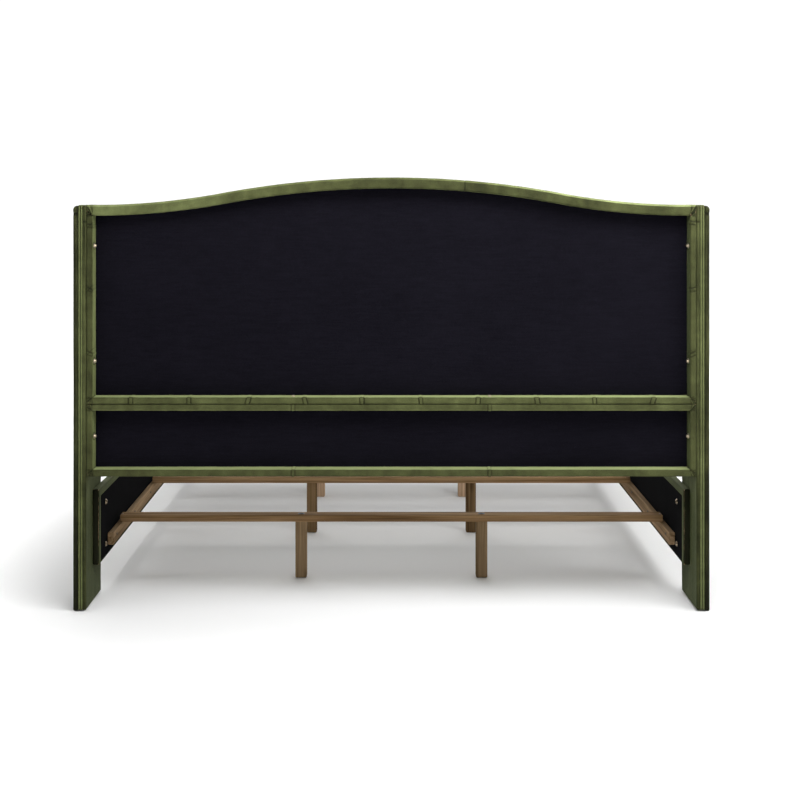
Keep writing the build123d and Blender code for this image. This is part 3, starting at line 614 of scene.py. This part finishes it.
def upper_relief(points, side, share, depth):
    """(height, painted fold shade) of the upper panel's frame velvet: tucks under the tufting, gathers,
    one seam.
    """
    x, z = points[:, 0], points[:, 2]
    on_rear = np.clip(1.4 - depth / (30 * MM), 0.35, 1)
    random = np.random.default_rng(8)
    height = 0.5 * MM * np.sin(unit(share) * math.pi)
    fold_shade = np.zeros(len(points))
    bottom = side == BOTTOM
    for column in range(BUTTON_COLUMNS):
        at = (column - (BUTTON_COLUMNS - 1) / 2) * BUTTON_PITCH + random.uniform(-6, 6) * MM
        lean = random.uniform(-0.3, 0.3)
        d = x - at + lean * (z - JOIN - 11 * MM)
        band, lines = tuck(d * random.choice((-1, 1)), random.uniform(5.5, 8) * MM)
        raised = random.uniform(1.3, 2.2) * MM * band - 1.5 * MM * lines
        height += raised * on_rear * bottom
        # Painted shade along each tuck's edge creases, painted highlight on its raised band.
        fold_shade = np.maximum(fold_shade, 1.15 * lines * on_rear * bottom)
        fold_shade -= 0.55 * band * (1 - lines) * bottom
        d = x - at - random.uniform(-22, 22) * MM + 1.6 * lean * (z - JOIN)
        height += 0.8 * MM * fold(d, 5 * MM) * on_rear * bottom
    past_side = np.abs(x) - PANEL_HALF
    for here in (side == PLUS_X, side == MINUS_X):
        for row in range(0, BUTTON_ROWS, 2):
            at = BUTTON_LOW + row * BUTTON_RISE + random.uniform(-6, 6) * MM
            lean = random.uniform(-0.5, 0.5)
            band, lines = tuck(z - at + lean * past_side, random.uniform(4, 6) * MM)
            height += (1.2 * MM * band - 1.3 * MM * lines) * on_rear * here
            # Painted shade along the side tucks' creases and pleat edges, painted highlight on their bands.
            fold_shade = np.maximum(fold_shade, 0.8 * lines * on_rear * here)
            fold_shade -= 0.25 * band * here
            for turn in (-1.1, 0.9):
                d = z - at - 12 * MM * turn - turn * past_side
                height += 0.9 * MM * fold(d, 4 * MM) * on_rear * here
                fold_shade = np.maximum(fold_shade, 0.4 * bump(d - 1.5 * MM, 1.5 * MM) * on_rear * here)
    shoulder = float(arch(PANEL_HALF, 0))
    for z_corner, up, amount in ((shoulder - ARCH_BAND, 1, 2.2 * MM), (UPPER_BOTTOM, -1, 1.6 * MM)):
        corners = [(s * HOLE_HALF, z_corner, s, up) for s in (1, -1)]
        height, fold_shade = add_folds(height, fold_shade, points, corners, amount)
    # A line of painted shade along the arch's seam.
    seam = bump(x - ARCH_SEAM_X, 1.4 * MM) * (side == TOP)
    return height - 1.1 * MM * seam, fold_shade + 0.7 * seam


def lower_relief(points, side, share, depth):
    """(height, painted fold shade) of the lower panel's frame velvet: mitred corners and two seams in
    each rail.
    """
    x = points[:, 0]
    rails = (side == BOTTOM) | (side == TOP)
    height = 0.5 * MM * np.sin(unit(share) * math.pi)
    fold_shade = np.zeros(len(points))
    for sign in (1, -1):
        band, lines = tuck(x - sign * RAIL_SEAM_X, 6 * MM)
        height += (0.9 * MM * band - 1.0 * MM * lines) * rails
        # Painted shade along each seam's creases.
        fold_shade = np.maximum(fold_shade, 0.6 * lines * rails)
    corners = [(s * HOLE_HALF, z, s, up) for s in (1, -1) for z, up in LOWER_CORNERS]
    return add_folds(height, fold_shade, points, corners, 1.5 * MM)


def frame_lie_and_painted_light(side, share, depth, rear, reveal):
    """Lie of the pile on a frame from each side's rear face value, and painted light and shade from each
    side's reveal value.
    """
    rear, reveal = (np.select([side == k for k in range(3)], by[:3], by[3]) for by in (rear, reveal))
    return rear + (reveal - rear) * unit((depth - 2.5 * MM) / (3 * MM)) * (share > 0.5)


def upper_nap_and_painted_light(x, side, share, depth):
    """Lie of the pile on the upper panel's frame, with painted light: lit reveals on the bottom rail and one
    stile, a shaded reveal on the other stile, the arch lighter towards +X and a painted highlight along
    its top edge.
    """
    along_arch = np.interp(x, (-0.9, -0.4, 0.1, 0.5, 0.95), (-0.35, -0.55, -0.5, 0.15, 0.55))
    # Painted highlight along the arch's top edge, strongest towards -X.
    rim = np.where((side == TOP) & (share < 0.15), np.interp(x, (-0.5, 0), (1.9, 0.8)), 0.0)
    return frame_lie_and_painted_light(side, share, depth, (-0.05, -0.42, along_arch, -0.27), (2.4, 0.8, 0.0, -3.2)) + rim


def lower_nap_and_painted_light(x, side, share, depth):
    """Lie of the pile on the lower panel's frame, with painted light and shade on its reveals and a painted
    highlight on its top rail's rear face next to the reveal.
    """
    # Painted highlight on the top rail's rear face next to its reveal.
    rim = np.where((side == TOP) & (share > 0.82) & (depth < 4 * MM), 0.6, 0.0)
    return frame_lie_and_painted_light(side, share, depth, (-0.33, -0.35, -0.17, -0.35), (2.0, 0.6, -1.0, -1.0)) + rim


def panel_dust_cover(panel, low, top, inset, seed):
    """A stretched dust cover over a panel's recess, just clear of the plywood behind it."""
    side, bottom, over = inset
    columns, rows = 420, 150
    u = np.linspace(-1, 1, columns)[None, :]
    v = np.linspace(0, 1, rows)[:, None]
    x = np.broadcast_to(u * (PANEL_HALF - side), (rows, columns))
    z_low, z_high = low + bottom, top(x, over)
    tall = z_high - z_low
    points = np.stack([x, np.full_like(x, REAR - RECESS), z_low + tall * v], -1).reshape(-1, 3)
    edge = np.minimum((1 - np.abs(u)) * PANEL_HALF, np.minimum(v, 1 - v) * tall).reshape(-1)
    slack = unit(edge / (40 * MM))
    height = 0.55 * MM * ripple(points, 0.24, seed) + 0.12 * MM * ripple(points, 0.045, seed + 1, (1, 1, 0.3))
    height = (0.2 * MM + height) * slack
    height += 0.5 * MM * np.cos(points[:, 0] * 2 * math.pi / 0.038) * np.exp(-edge / (11 * MM)) * slack
    points[:, 1] += height
    name, faces = f"{panel}_rear_dust_cover", grid_faces(rows, columns)
    made = piece(name, points, faces, cambric, "black_cambric", (f"{panel}_dust_cover",))


# ---- headboard front ----
def button_places():
    """X and Z of every button, in rows of ten and nine in turn."""
    places = []
    for row in range(BUTTON_ROWS):
        count = BUTTON_COLUMNS - row % 2
        z = BUTTON_LOW + row * BUTTON_RISE
        places += [((c - (count - 1) / 2) * BUTTON_PITCH, z) for c in range(count)]
    return np.array(places)


def diamond(x, z):
    """Coordinates along the two diagonals of the tufting: whole numbers fall on its creases."""
    across, up = x / BUTTON_PITCH - 0.5, (z - BUTTON_LOW) / (2 * BUTTON_RISE)
    return across + up, across - up


def tuft_depth(x, z):
    """How far the front velvet is pulled in at a point, 0 to 1: creases between buttons, pockets at them."""
    last_x = (BUTTON_COLUMNS - 1) / 2 * BUTTON_PITCH

    def off_line(turns):
        return np.abs(turns - np.round(turns))

    reach = BUTTON_PITCH * BUTTON_RISE / math.hypot(BUTTON_PITCH / 2, BUTTON_RISE)
    diagonal = np.minimum(*(off_line(turns) for turns in diamond(x, z))) * reach
    upright = off_line(x / BUTTON_PITCH - 0.5) * BUTTON_PITCH
    upright = np.where(np.abs(x) > last_x + BUTTON_PITCH / 3, 1, upright)
    sideways = off_line((z - BUTTON_LOW) / (2 * BUTTON_RISE)) * 2 * BUTTON_RISE
    sideways = np.where((z < BUTTON_LOW - 60 * MM) | (z > BUTTON_TOP + 60 * MM), 1, sideways)
    beyond_x, beyond_z = np.abs(x) >= last_x, (z <= BUTTON_LOW) | (z >= BUTTON_TOP)
    line = np.where(beyond_x, np.where(beyond_z, np.minimum(upright, sideways), sideways),
                    np.where(beyond_z, upright, diagonal))
    near = np.full(x.shape, 1.0)
    for px, pz in button_places():
        near = np.minimum(near, np.hypot(x - px, z - pz))
    pocket = np.exp(-((near / (30 * MM)) ** 1.5))
    strength = 0.46 + 0.40 * np.exp(-near / (45 * MM))
    return unit(np.maximum(pocket, strength * np.exp(-line / (12 * MM))))


def tuft_lie_and_crease_shade(x, z):
    """Lie of the pile over the tufting: each diamond brushed its own way, with painted shade down in its
    creases and button pockets.
    """
    a, b = (np.floor(turns) for turns in diamond(x, z))
    own = np.sin(a * 12.9898 + b * 78.233) * 43758.5453
    # The random part is each diamond's pile; the darkening with tuft depth is painted shade.
    return 0.45 + 0.35 * (own - np.floor(own)) - 1.5 * tuft_depth(x, z) ** 1.2


def border_grid(low, top, columns, rows, roll):
    """X, Z, distance to the outline and share of full height of a front whose edge rolls over."""
    half, low = PANEL_HALF - 0.5 * MM, low + 0.3 * MM
    fine = np.sin(np.linspace(-1, 1, 13) * math.pi / 2)[6:]
    beside, above = fine * roll / half, fine * roll / (float(top(0.0, 0)) - low)
    u = np.unique(np.concatenate([np.linspace(-1, 1, columns), -1 + beside, 1 - beside]))
    v = np.unique(np.concatenate([np.linspace(0, 1, rows), above, 1 - above]))
    x = np.broadcast_to((u * half)[None, :], (len(v), len(u)))
    z_top = top(x, 0.3 * MM)
    z = low + (z_top - low) * v[:, None]
    away = np.minimum(half - np.abs(x), np.minimum(z - low, z_top - z))
    return x, z, away, np.sqrt(unit(1 - (1 - unit(away / roll)) ** 2))


def front_piece(name, x, z, away, depth, height, replaces, nap_and_painted_light=0.0):
    """A panel's front velvet, raised by height(points) inside its outline."""
    points = np.stack([x, REAR - depth, z], -1).reshape(-1, 3)
    faces = outward(points, grid_faces(*x.shape), (0, REAR, z.mean()))
    points = push(points, faces, height(points) * (away.reshape(-1) > 0))
    padded_velvet(name, points, faces, replaces, nap_and_painted_light)


def upper_front():
    """The front of the upper panel: deep diamond tufting that rolls over to the outline."""
    x, z, away, rounded = border_grid(JOIN, arch, 560, 215, UPPER_ROLL)
    pulled = tuft_depth(x, z)
    tufts = pulled * unit(away / (22 * MM))
    puff = 1 - 0.12 * unit(1 - away / (120 * MM))
    crest = UPPER_FRONT - (UPPER_FRONT - BUTTON_FACE + 1 * MM) * tufts * puff
    edge = UPPER_FRONT - UPPER_ROLL

    def wrinkles(points):
        pull = np.exp(-np.abs(pulled.reshape(-1) - 0.3) / 0.25)
        return 0.5 * MM * ripple(points, 0.026, 21) * pull + 0.35 * MM * ripple(points, 0.080, 22)

    front_piece("upper_tufted_front", x, z, away, edge + (crest - edge) * rounded, wrinkles, ("upper_pad",),
                tuft_lie_and_crease_shade(x, z).reshape(-1))


def lower_front():
    """The plain, lightly padded front of the lower panel."""
    x, z, away, rounded = border_grid(LOWER_END, flat_top, 400, 70, LOWER_ROLL)

    def wrinkles(points):
        return 0.6 * MM * ripple(points, 0.11, 31) + 0.2 * MM * ripple(points, 0.02, 32)

    depth = LOWER_FRONT - LOWER_ROLL + LOWER_ROLL * rounded
    front_piece("lower_padded_front", x, z, away, depth, wrinkles, ("lower_pad",))


def tuft_buttons():
    """Domed buttons covered in velvet, with the cover's gathers showing round their rims."""
    radius = 12.5 * MM
    profile = [(radius * 0.78, -3.5 * MM), (radius * 0.97, -2.5 * MM)]
    turns = np.linspace(0, math.pi / 2, 7)[:-1]
    profile += [(radius * math.cos(a), -1 * MM + 4.5 * MM * math.sin(a)) for a in turns]
    profile += [(0.02 * MM, 3.5 * MM)]

    def gathered(turn, r):
        return r * (1 + 0.10 * max(0.0, r / radius - 0.75) * np.cos(turn * 16))

    parts = []
    for x, z in button_places():
        centre = (x, REAR - BUTTON_FACE, z)
        points, faces = lathe(profile, centre, (0, -1, 0), 48, gathered)
        parts.append((points, outward(points, faces, centre)))
    piece("upper_tuft_buttons", *joined(parts), velvet, "velvet", ("upper_buttons",), 0.6)


# ---- wings ----
def round_corner(points, sign, radius):
    """The points with the wing's outer top corner rounded in the upright plane across the bed."""
    out = points.copy()
    x, z = WING_HIGH.x - points[:, 0] * sign, WING_HIGH.z - points[:, 2]
    dx, dz = np.maximum(radius - x, 0), np.maximum(radius - z, 0)
    away = np.hypot(dx, dz)
    shrink = np.where(away > radius, radius / np.maximum(away, 1e-9), 1)
    out[:, 0] = np.where(dx > 0, sign * (WING_HIGH.x - radius + dx * shrink), points[:, 0])
    out[:, 2] = np.where(dz > 0, WING_HIGH.z - radius + dz * shrink, points[:, 2])
    return out


def wing_velvet(name, sign):
    """One wing's velvet over its foam: seams each side of the welt, a pinch at its top, soft drag lines."""
    low = (-WING_HIGH.x if sign < 0 else WING_LOW.x, WING_LOW.y, WING_LOW.z)
    high = (-WING_LOW.x if sign < 0 else WING_HIGH.x, WING_HIGH.y, WING_HIGH.z)
    middle = sign * ((WING_LOW.x + WING_HIGH.x) / 2 - WELT_SHIFT)
    lines = [middle + o * MM for o in (-9.4, -8.4, -7.6, -6.8, -6.0, -5.0, 5.0, 6.0, 6.8, 7.6, 8.4, 9.4)]
    points, faces = soft_box(low, high, 5 * MM, (1.8 * MM, 4.5 * MM, 4 * MM), (lines, (), ()))
    across, down = points[:, 0] - middle, WING_HIGH.z - points[:, 2]
    off, outwards = np.abs(across), across * sign
    rear = unit((points[:, 1] - REAR + 6 * MM) / (4 * MM))
    top = unit((points[:, 2] - WING_HIGH.z + 6 * MM) / (4 * MM))
    edge = np.maximum(rear, top)
    groove = np.maximum(bump(off - 7.2 * MM, 1.4 * MM), 0.8 * bump(off, 0.9 * MM)) * edge
    strip = unit((off - 8 * MM) / (3 * MM)) * edge
    drag = ripple(points, 0.0075, 45, (1, 1, 0.03)) * strip
    ridge = bump(off - 9.4 * MM, 1.3 * MM) * edge
    outer, inner = (outwards > 8 * MM) * rear, (outwards < -8 * MM) * rear
    pinch = bump(down - 27 * MM, 4 * MM) * outer
    gathers = np.maximum(0, np.sin(across * 900 + down * 300)) * bump(down - 22 * MM, 9 * MM) * outer
    seam = bump(down - 52 * MM, 2.2 * MM) * inner
    side_face = (outwards > 10 * MM) * unit((points[:, 1] - REAR + 0.05) / 0.04)
    height = -2.2 * MM * groove + 0.5 * MM * drag + 0.7 * MM * strip + 0.9 * MM * ridge
    height += 2.4 * MM * bump(down - 13 * MM, 7 * MM) * outer - 2.2 * MM * pinch + 1.8 * MM * side_face
    height -= 1.5 * MM * seam
    height += 0.35 * MM * ripple(points, 0.05, 41, (1, 1, 0.25)) + 0.15 * MM * ripple(points, 0.014, 42)
    height += 0.45 * MM * ripple(points, 0.18, 43) * (1 - edge)
    points = round_corner(push(points, faces, np.maximum(height, -SKIN)), sign, 14 * MM)
    # Painted light and shade on the wing: painted shade darker towards the bottom, on the inner face and more
    # so low down, along the outer rear edge, in the grooves, seam, pinch and gathers; painted light and shade
    # along the drag lines; painted highlights on the ridge and the top face.
    inner_face = unit((WING_LOW.x + 2 * MM - points[:, 0] * sign) / (2 * MM)) * (1 - rear)
    low_end, under = unit((down - 0.7) / 0.5), unit((down - 0.97) / 0.06)
    lie_and_painted_light = -0.35 - 0.7 * low_end - inner_face * (0.2 + 0.6 * under) - 0.5 * outer * edge
    lie_and_painted_light += 0.5 * drag + 0.3 * ridge - 2.5 * np.maximum(groove, 0.6 * seam)
    lie_and_painted_light += 0.5 * top * (1 - rear) - 1.3 * pinch - 0.9 * gathers
    replaces = (f"wing_{name}_cover", f"wing_{name}_padding")
    padded_velvet(f"wing_{name}_velvet", points, faces, replaces, lie_and_painted_light)


def swept(path, radius, wobble, seed, sides=12):
    """A round cord along a path of points in one plane of constant X."""
    path = np.array(path)
    ahead = np.gradient(path, axis=0)
    ahead /= np.linalg.norm(ahead, axis=1, keepdims=True)
    side = np.array([1.0, 0, 0])
    over = np.cross(ahead, side)
    angle = np.arange(sides) * 2 * math.pi / sides
    size = radius + wobble * ripple(path, 0.012, seed)
    ring = np.cos(angle)[None, :, None] * side + np.sin(angle)[None, :, None] * over[:, None, :]
    points = (path[:, None, :] + ring * size[:, None, None]).reshape(-1, 3)
    return points, grid_faces(len(path), sides, closed=True)


def wing_welt(name, sign):
    """The double welt up the wing's rear edge and forward along its top."""
    radius, rise, turn = 2.9 * MM, 2.4 * MM, 6 * MM
    low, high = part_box(f"wing_{name}_welt")
    y_line, z_line = REAR + rise - radius, WING_HIGH.z + rise - radius
    route = [(y_line, z) for z in np.arange(low.z, z_line - turn, 3 * MM)]
    route += [(y_line + turn * (math.cos(a) - 1), z_line + turn * (math.sin(a) - 1))
              for a in np.linspace(0, math.pi / 2, 8)]
    route += [(y, z_line) for y in np.arange(y_line - turn - 3 * MM, low.y + 2 * MM, -3 * MM)]
    route += [(low.y - 0.5 * MM, z_line - 1.5 * MM), (low.y - 1.0 * MM, z_line - 4 * MM)]
    parts = []
    for k, offset in enumerate((-3.9 * MM, 3.9 * MM)):
        x = (low.x + high.x) / 2 - sign * WELT_SHIFT + offset
        points, faces = swept([(x, y, z) for y, z in route], radius, 0.12 * MM, 50 + k)
        parts.append((points, outward(points, faces, (x, 0.9, 0.6))))
    # The welt's pile value of 0.6 is painted light: lighter than the wing where it catches the light.
    piece(f"wing_{name}_double_welt", *joined(parts), velvet, "velvet", (f"wing_{name}_welt",), 0.6)


# ---- side rails and footboard ----
def sleeve(node, axis, face, opening, radius, steps):
    """A rounded box with an opening in one face: (points, faces, how far each point is let in)."""
    open_low, open_high = opening
    gap = OPENING_GAP
    lines = [[a - gap, a, b, b + gap] for a, b in zip(open_low, open_high)]
    lines[axis] = []
    points, faces = soft_box(*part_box(node), radius, steps, lines)
    inside = np.abs(points[:, axis] - face) < 1.2 * MM
    for k in (k for k in range(3) if k != axis):
        inside &= (points[:, k] > open_low[k] - gap / 2) & (points[:, k] < open_high[k] + gap / 2)
    return points, faces, np.where(inside, OPENING_DROP, 0.0)


def side_rail(name, sign):
    """A side rail's velvet sleeve, let in on its inner face for the dust cover, and that cover."""
    low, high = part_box(f"rail_{name}_cover")
    hole_low, hole_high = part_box(f"rail_{name}_dust_cover")
    hole_low.z += 3 * MM + OPENING_GAP
    face = high.x if sign < 0 else low.x
    steps = (3 * MM, 5 * MM, 4 * MM)
    points, faces, drop = sleeve(f"rail_{name}_cover", 0, face, (hole_low, hole_high), 6.5 * MM, steps)
    height = 0.45 * MM * ripple(points, 0.16, 61) + 0.16 * MM * ripple(points, 0.018, 62, (1, 0.6, 1))
    inner = np.abs(points[:, 0] - face) < 1.5 * MM
    height = np.where(inner, 0.25 * height, height) - drop
    near_fold = bump(points[:, 2] - hole_high.z - 2 * MM, 3 * MM) * inner * (drop == 0)
    points = push(points, faces, height + 0.3 * MM * near_fold)
    # Painted shade on the rail's end face by the wing, lightening towards its inner edge, and painted shade
    # on the inner face near the head.
    head_end = unit((points[:, 1] - high.y + 9 * MM) / (8 * MM))
    flange = unit((points[:, 1] - REAR + 0.45) / 0.2) * inner
    to_inside = unit((points[:, 0] - low.x) / (high.x - low.x))
    to_inside = to_inside if sign < 0 else 1 - to_inside
    lie_and_painted_light = (1.3 * to_inside ** 2 - 2.6) * head_end - 0.9 * flange * (1 - head_end)
    replaces = (f"rail_{name}_cover", f"rail_{name}_wadding")
    padded_velvet(f"rail_{name}_velvet", points, faces, replaces, lie_and_painted_light)
    node, face = f"rail_{name}_dust_cover", face + sign * COVER_SINK
    flat_dust_cover(f"rail_{name}_inner_cover", node, X_AXIS, face, shaded_rail_cambric, 80 + sign)


def flat_dust_cover(name, node, axis, face, cloth, seed):
    """A stretched dust cover on an upright inner face that is square to an axis."""
    low, high = (np.array(corner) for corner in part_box(node))
    u, v = [k for k in range(3) if k != axis]
    long, tall = high[u] - low[u], high[v] - low[v]
    across = np.linspace(low[u], high[u], round(long / (6 * MM)))
    up = np.linspace(low[v], high[v], round(tall / (6 * MM)))
    points, faces = flat_grid(up, across, (v, u, axis), face)
    edge = np.minimum(points - low, high - points)[:, [u, v]].min(1)
    points[:, axis] += 0.3 * MM * ripple(points, 0.15, seed) * unit(edge / (25 * MM))
    made = piece(name, points, faces, cloth, "black_cambric", (node,))


def footboard():
    """The footboard's velvet, fuller on its outer face, and the dust cover let into its inner face."""
    low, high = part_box("footboard_cover")
    steps = (5 * MM, 3 * MM, 4 * MM)
    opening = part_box("footboard_dust_cover")
    points, faces, drop = sleeve("footboard_cover", 1, high.y, opening, 6 * MM, steps)
    z_share = unit((points[:, 2] - low.z) / (high.z - low.z))
    outer = unit((high.y - 25 * MM - points[:, 1]) / (20 * MM))
    waves = 0.45 * MM * ripple(points, 0.16, 71) + 0.16 * MM * ripple(points, 0.018, 72)
    height = outer * 2.5 * MM * np.sin(z_share * math.pi) + waves * (0.3 + 0.7 * outer)
    points = push(points, faces, height - drop)
    padded_velvet("footboard_velvet", points, faces, ("footboard_cover", "footboard_pad"))
    face = high.y - COVER_SINK
    flat_dust_cover("footboard_inner_cover", "footboard_dust_cover", Y_AXIS, face, cambric, 85)


# ---- fastener heads ----
def screw_head(centre, axis, head, height, washer, washer_height):
    """A pan head with a cross recess on a washer. The centre is on the face that the washer lies on."""
    top, sides = washer_height + height, 48
    body = [(washer * 0.97, 0), (washer, 0.3 * washer_height), (washer * 0.93, washer_height)]
    body += [(head * 1.02, washer_height), (head, washer_height + 0.35 * height)]
    for a in (0.5, 0.9, 1.2):
        body.append((head * math.cos(a), washer_height + (0.35 + 0.65 * math.sin(a)) * height))
    rim, rim_faces = lathe(body + [(head * 0.30, top)], centre, axis, sides)

    def cross(angle, radius):
        turned = np.abs((angle + math.pi / 4) % (math.pi / 2) - math.pi / 4)
        return np.minimum(0.62 * head, 0.13 * head / np.maximum(np.sin(turned), 1e-6)) * radius

    inside = [(1.0, top), (0.92, top - 0.45 * height), (0.02, top - 0.55 * height)]
    cup, cup_faces = lathe(inside, centre, axis, sides, cross)
    rim[-sides:] = cup[:sides]
    return joined([(rim, rim_faces), (cup, cup_faces)])


def inwards(place):
    """The direction across the bed from a place towards its middle."""
    return (-math.copysign(1, place[0]), 0, 0)


def headboard_screw_heads():
    """Six screws into the wings and two between the panels, with their washers."""
    parts = [screw_head(p, inwards(p), 6 * MM, 5.5 * MM, 9 * MM, 2.5 * MM) for p in SCREW_PLACES]
    parts += [screw_head(p, (0, 0, 1), 5.5 * MM, 4 * MM, 7 * MM, 0.4 * MM) for p in JOIN_PLACES]
    piece("headboard_screw_heads", *joined(parts), brass, "brass_fasteners", ("headboard_screws",))


def rail_bolt_heads():
    """Two bolts through each side rail into its wing."""
    face = abs(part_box("rail_right_cover")[0].x)
    places = [(s * face, REAR - RAIL_BOLT_DEPTH, z) for s in (-1, 1) for z in RAIL_BOLT_HEIGHTS]
    parts = [screw_head(p, inwards(p), 7 * MM, 5 * MM, 9.5 * MM, 1.5 * MM) for p in places]
    piece("rail_bolt_heads", *joined(parts), dull_brass, "brass_fasteners", ("rail_bolts",))


def leg_bolt_heads():
    """The bolts down through the slats into the legs: dark domed heads pressed into the slat tops."""
    low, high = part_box("leg_bolts")
    washer = (1.62, -0.2), (1.55, 0.6), (1.02, 0.6)
    rings = (*washer, (1.0, 0.9), (0.85, 1.9), (0.5, 2.4), (0.3, 2.4), (0.26, 1.0))
    profile = [(r * LEG_BOLT_HEAD, up * MM) for r, up in rings] + [(0.02 * MM, 1.0 * MM)]
    parts = []
    for name in ("head", "middle", "foot"):
        slat_low, slat_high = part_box(f"slat_{name}")
        for x in (low.x + LEG_BOLT_HEAD, high.x - LEG_BOLT_HEAD):
            centre = (x, (slat_low.y + slat_high.y) / 2, slat_high.z)
            parts.append(lathe(profile, centre, (0, 0, 1), 40))
    piece("leg_bolt_heads", *joined(parts), dark_steel, "steel_fasteners", ("leg_bolts",))


# ---- stage ----
def build_floor():
    """A plain pale floor."""
    mesh = bpy.data.meshes.new("floor")
    x, near, far = FLOOR_SIDE, FLOOR_NEAR, FLOOR_FAR
    mesh.from_pydata([(-x, far, 0), (x, far, 0), (x, near, 0), (-x, near, 0)], [], [(0, 1, 2, 3)])
    floor = bpy.data.objects.new("floor", mesh)
    bpy.context.scene.collection.objects.link(floor)
    n = Nodes("pale_floor")
    n.set(Base_Color=(0.86, 0.86, 0.86, 1), Roughness=0.9, Specular_IOR_Level=0.1)
    mesh.materials.append(n.material)


def softbox(name, place, target, size, power, spread=180):
    """A rectangular softbox that the camera doesn't see, aimed from place at target."""
    lamp = bpy.data.lights.new(name, "AREA")
    lamp.shape = "RECTANGLE"
    lamp.size, lamp.size_y = size
    lamp.energy = power
    lamp.spread = math.radians(spread)
    made = bpy.data.objects.new(name, lamp)
    made.location = place
    made.rotation_euler = (Vector(target) - Vector(place)).to_track_quat("-Z", "Y").to_euler()
    made.visible_camera = False
    bpy.context.scene.collection.objects.link(made)


def build_light():
    """A key softbox over the rear side, a fill from the foot side, and panels that whiten the floor."""
    softbox("key", (-0.85, REAR + 1.15, 2.4), (-0.1, REAR, 0.8), (2.8, 0.9), KEY_POWER)
    softbox("fill", (0, -5.5, 3.0), (0, 0.8, 0.7), (8.0, 3.6), FILL_POWER)
    for x, y in FLOOR_PANELS:
        size = (x[1] - x[0], y[1] - y[0])
        place = (sum(x) / 2, sum(y) / 2)
        power = FLOOR_LIGHT * size[0] * size[1]
        softbox("floor_panel", (*place, PANEL_HEIGHT), (*place, 0), size, power, PANEL_SPREAD)
    world = bpy.data.worlds.new("studio")
    world.use_nodes = True
    nodes, links = world.node_tree.nodes, world.node_tree.links
    both = nodes.new("ShaderNodeMixShader")
    links.new(nodes.new("ShaderNodeLightPath").outputs["Is Camera Ray"], both.inputs["Fac"])
    backs = (nodes["Background"], WORLD_LIGHT), (nodes.new("ShaderNodeBackground"), BACKDROP_LIGHT)
    for slot, (back, strength) in enumerate(backs, 1):
        back.inputs["Color"].default_value = (1, 1, 1, 1)
        back.inputs["Strength"].default_value = strength
        links.new(back.outputs[0], both.inputs[slot])
    links.new(both.outputs[0], nodes["World Output"].inputs["Surface"])
    bpy.context.scene.world = world
    bpy.context.scene.view_settings.view_transform = "Standard"


def build_camera():
    """A level camera behind the headboard, at the height of its shoulders."""
    lens = bpy.data.cameras.new("camera")
    lens.lens, lens.sensor_width = CAMERA_LENS, CAMERA_SENSOR
    lens.shift_x, lens.shift_y = CAMERA_SHIFT
    camera = bpy.data.objects.new("camera", lens)
    camera.location = (0.0, REAR + CAMERA_BACK, CAMERA_HEIGHT)
    camera.rotation_euler = (math.radians(90), 0, math.radians(180))
    bpy.context.scene.collection.objects.link(camera)
    bpy.context.scene.camera = camera


def build_headboard():
    """Both panels: frame velvet, fronts, dust covers, buttons and screws."""
    upper = (STILE, UPPER_BOTTOM - JOIN, ARCH_BAND)
    lower = (STILE, LOWER_HOLE[0].z - LOWER_END, JOIN - LOWER_HOLE[1].z)
    for panel, low, top, inset, front, relief, lie_and_painted_light, seed in (
        ("upper", JOIN, arch, upper, UPPER_FRONT - UPPER_ROLL, upper_relief, upper_nap_and_painted_light, 11),
        ("lower", LOWER_END, flat_top, lower, LOWER_FRONT - LOWER_ROLL, lower_relief, lower_nap_and_painted_light, 15),
    ):
        frame_wrap(panel, low, top, inset, front, relief, lie_and_painted_light)
        panel_dust_cover(panel, low, top, inset, seed)
    upper_front()
    lower_front()
    tuft_buttons()
    headboard_screw_heads()


def build_sides():
    """Wings and side rails."""
    for name, sign in (("left", -1), ("right", 1)):
        wing_velvet(name, sign)
        wing_welt(name, sign)
        side_rail(name, sign)
    rail_bolt_heads()
    leg_bolt_heads()


build_camera()
build_floor()
build_light()
finish_nodes()
build_headboard()
build_sides()
footboard()
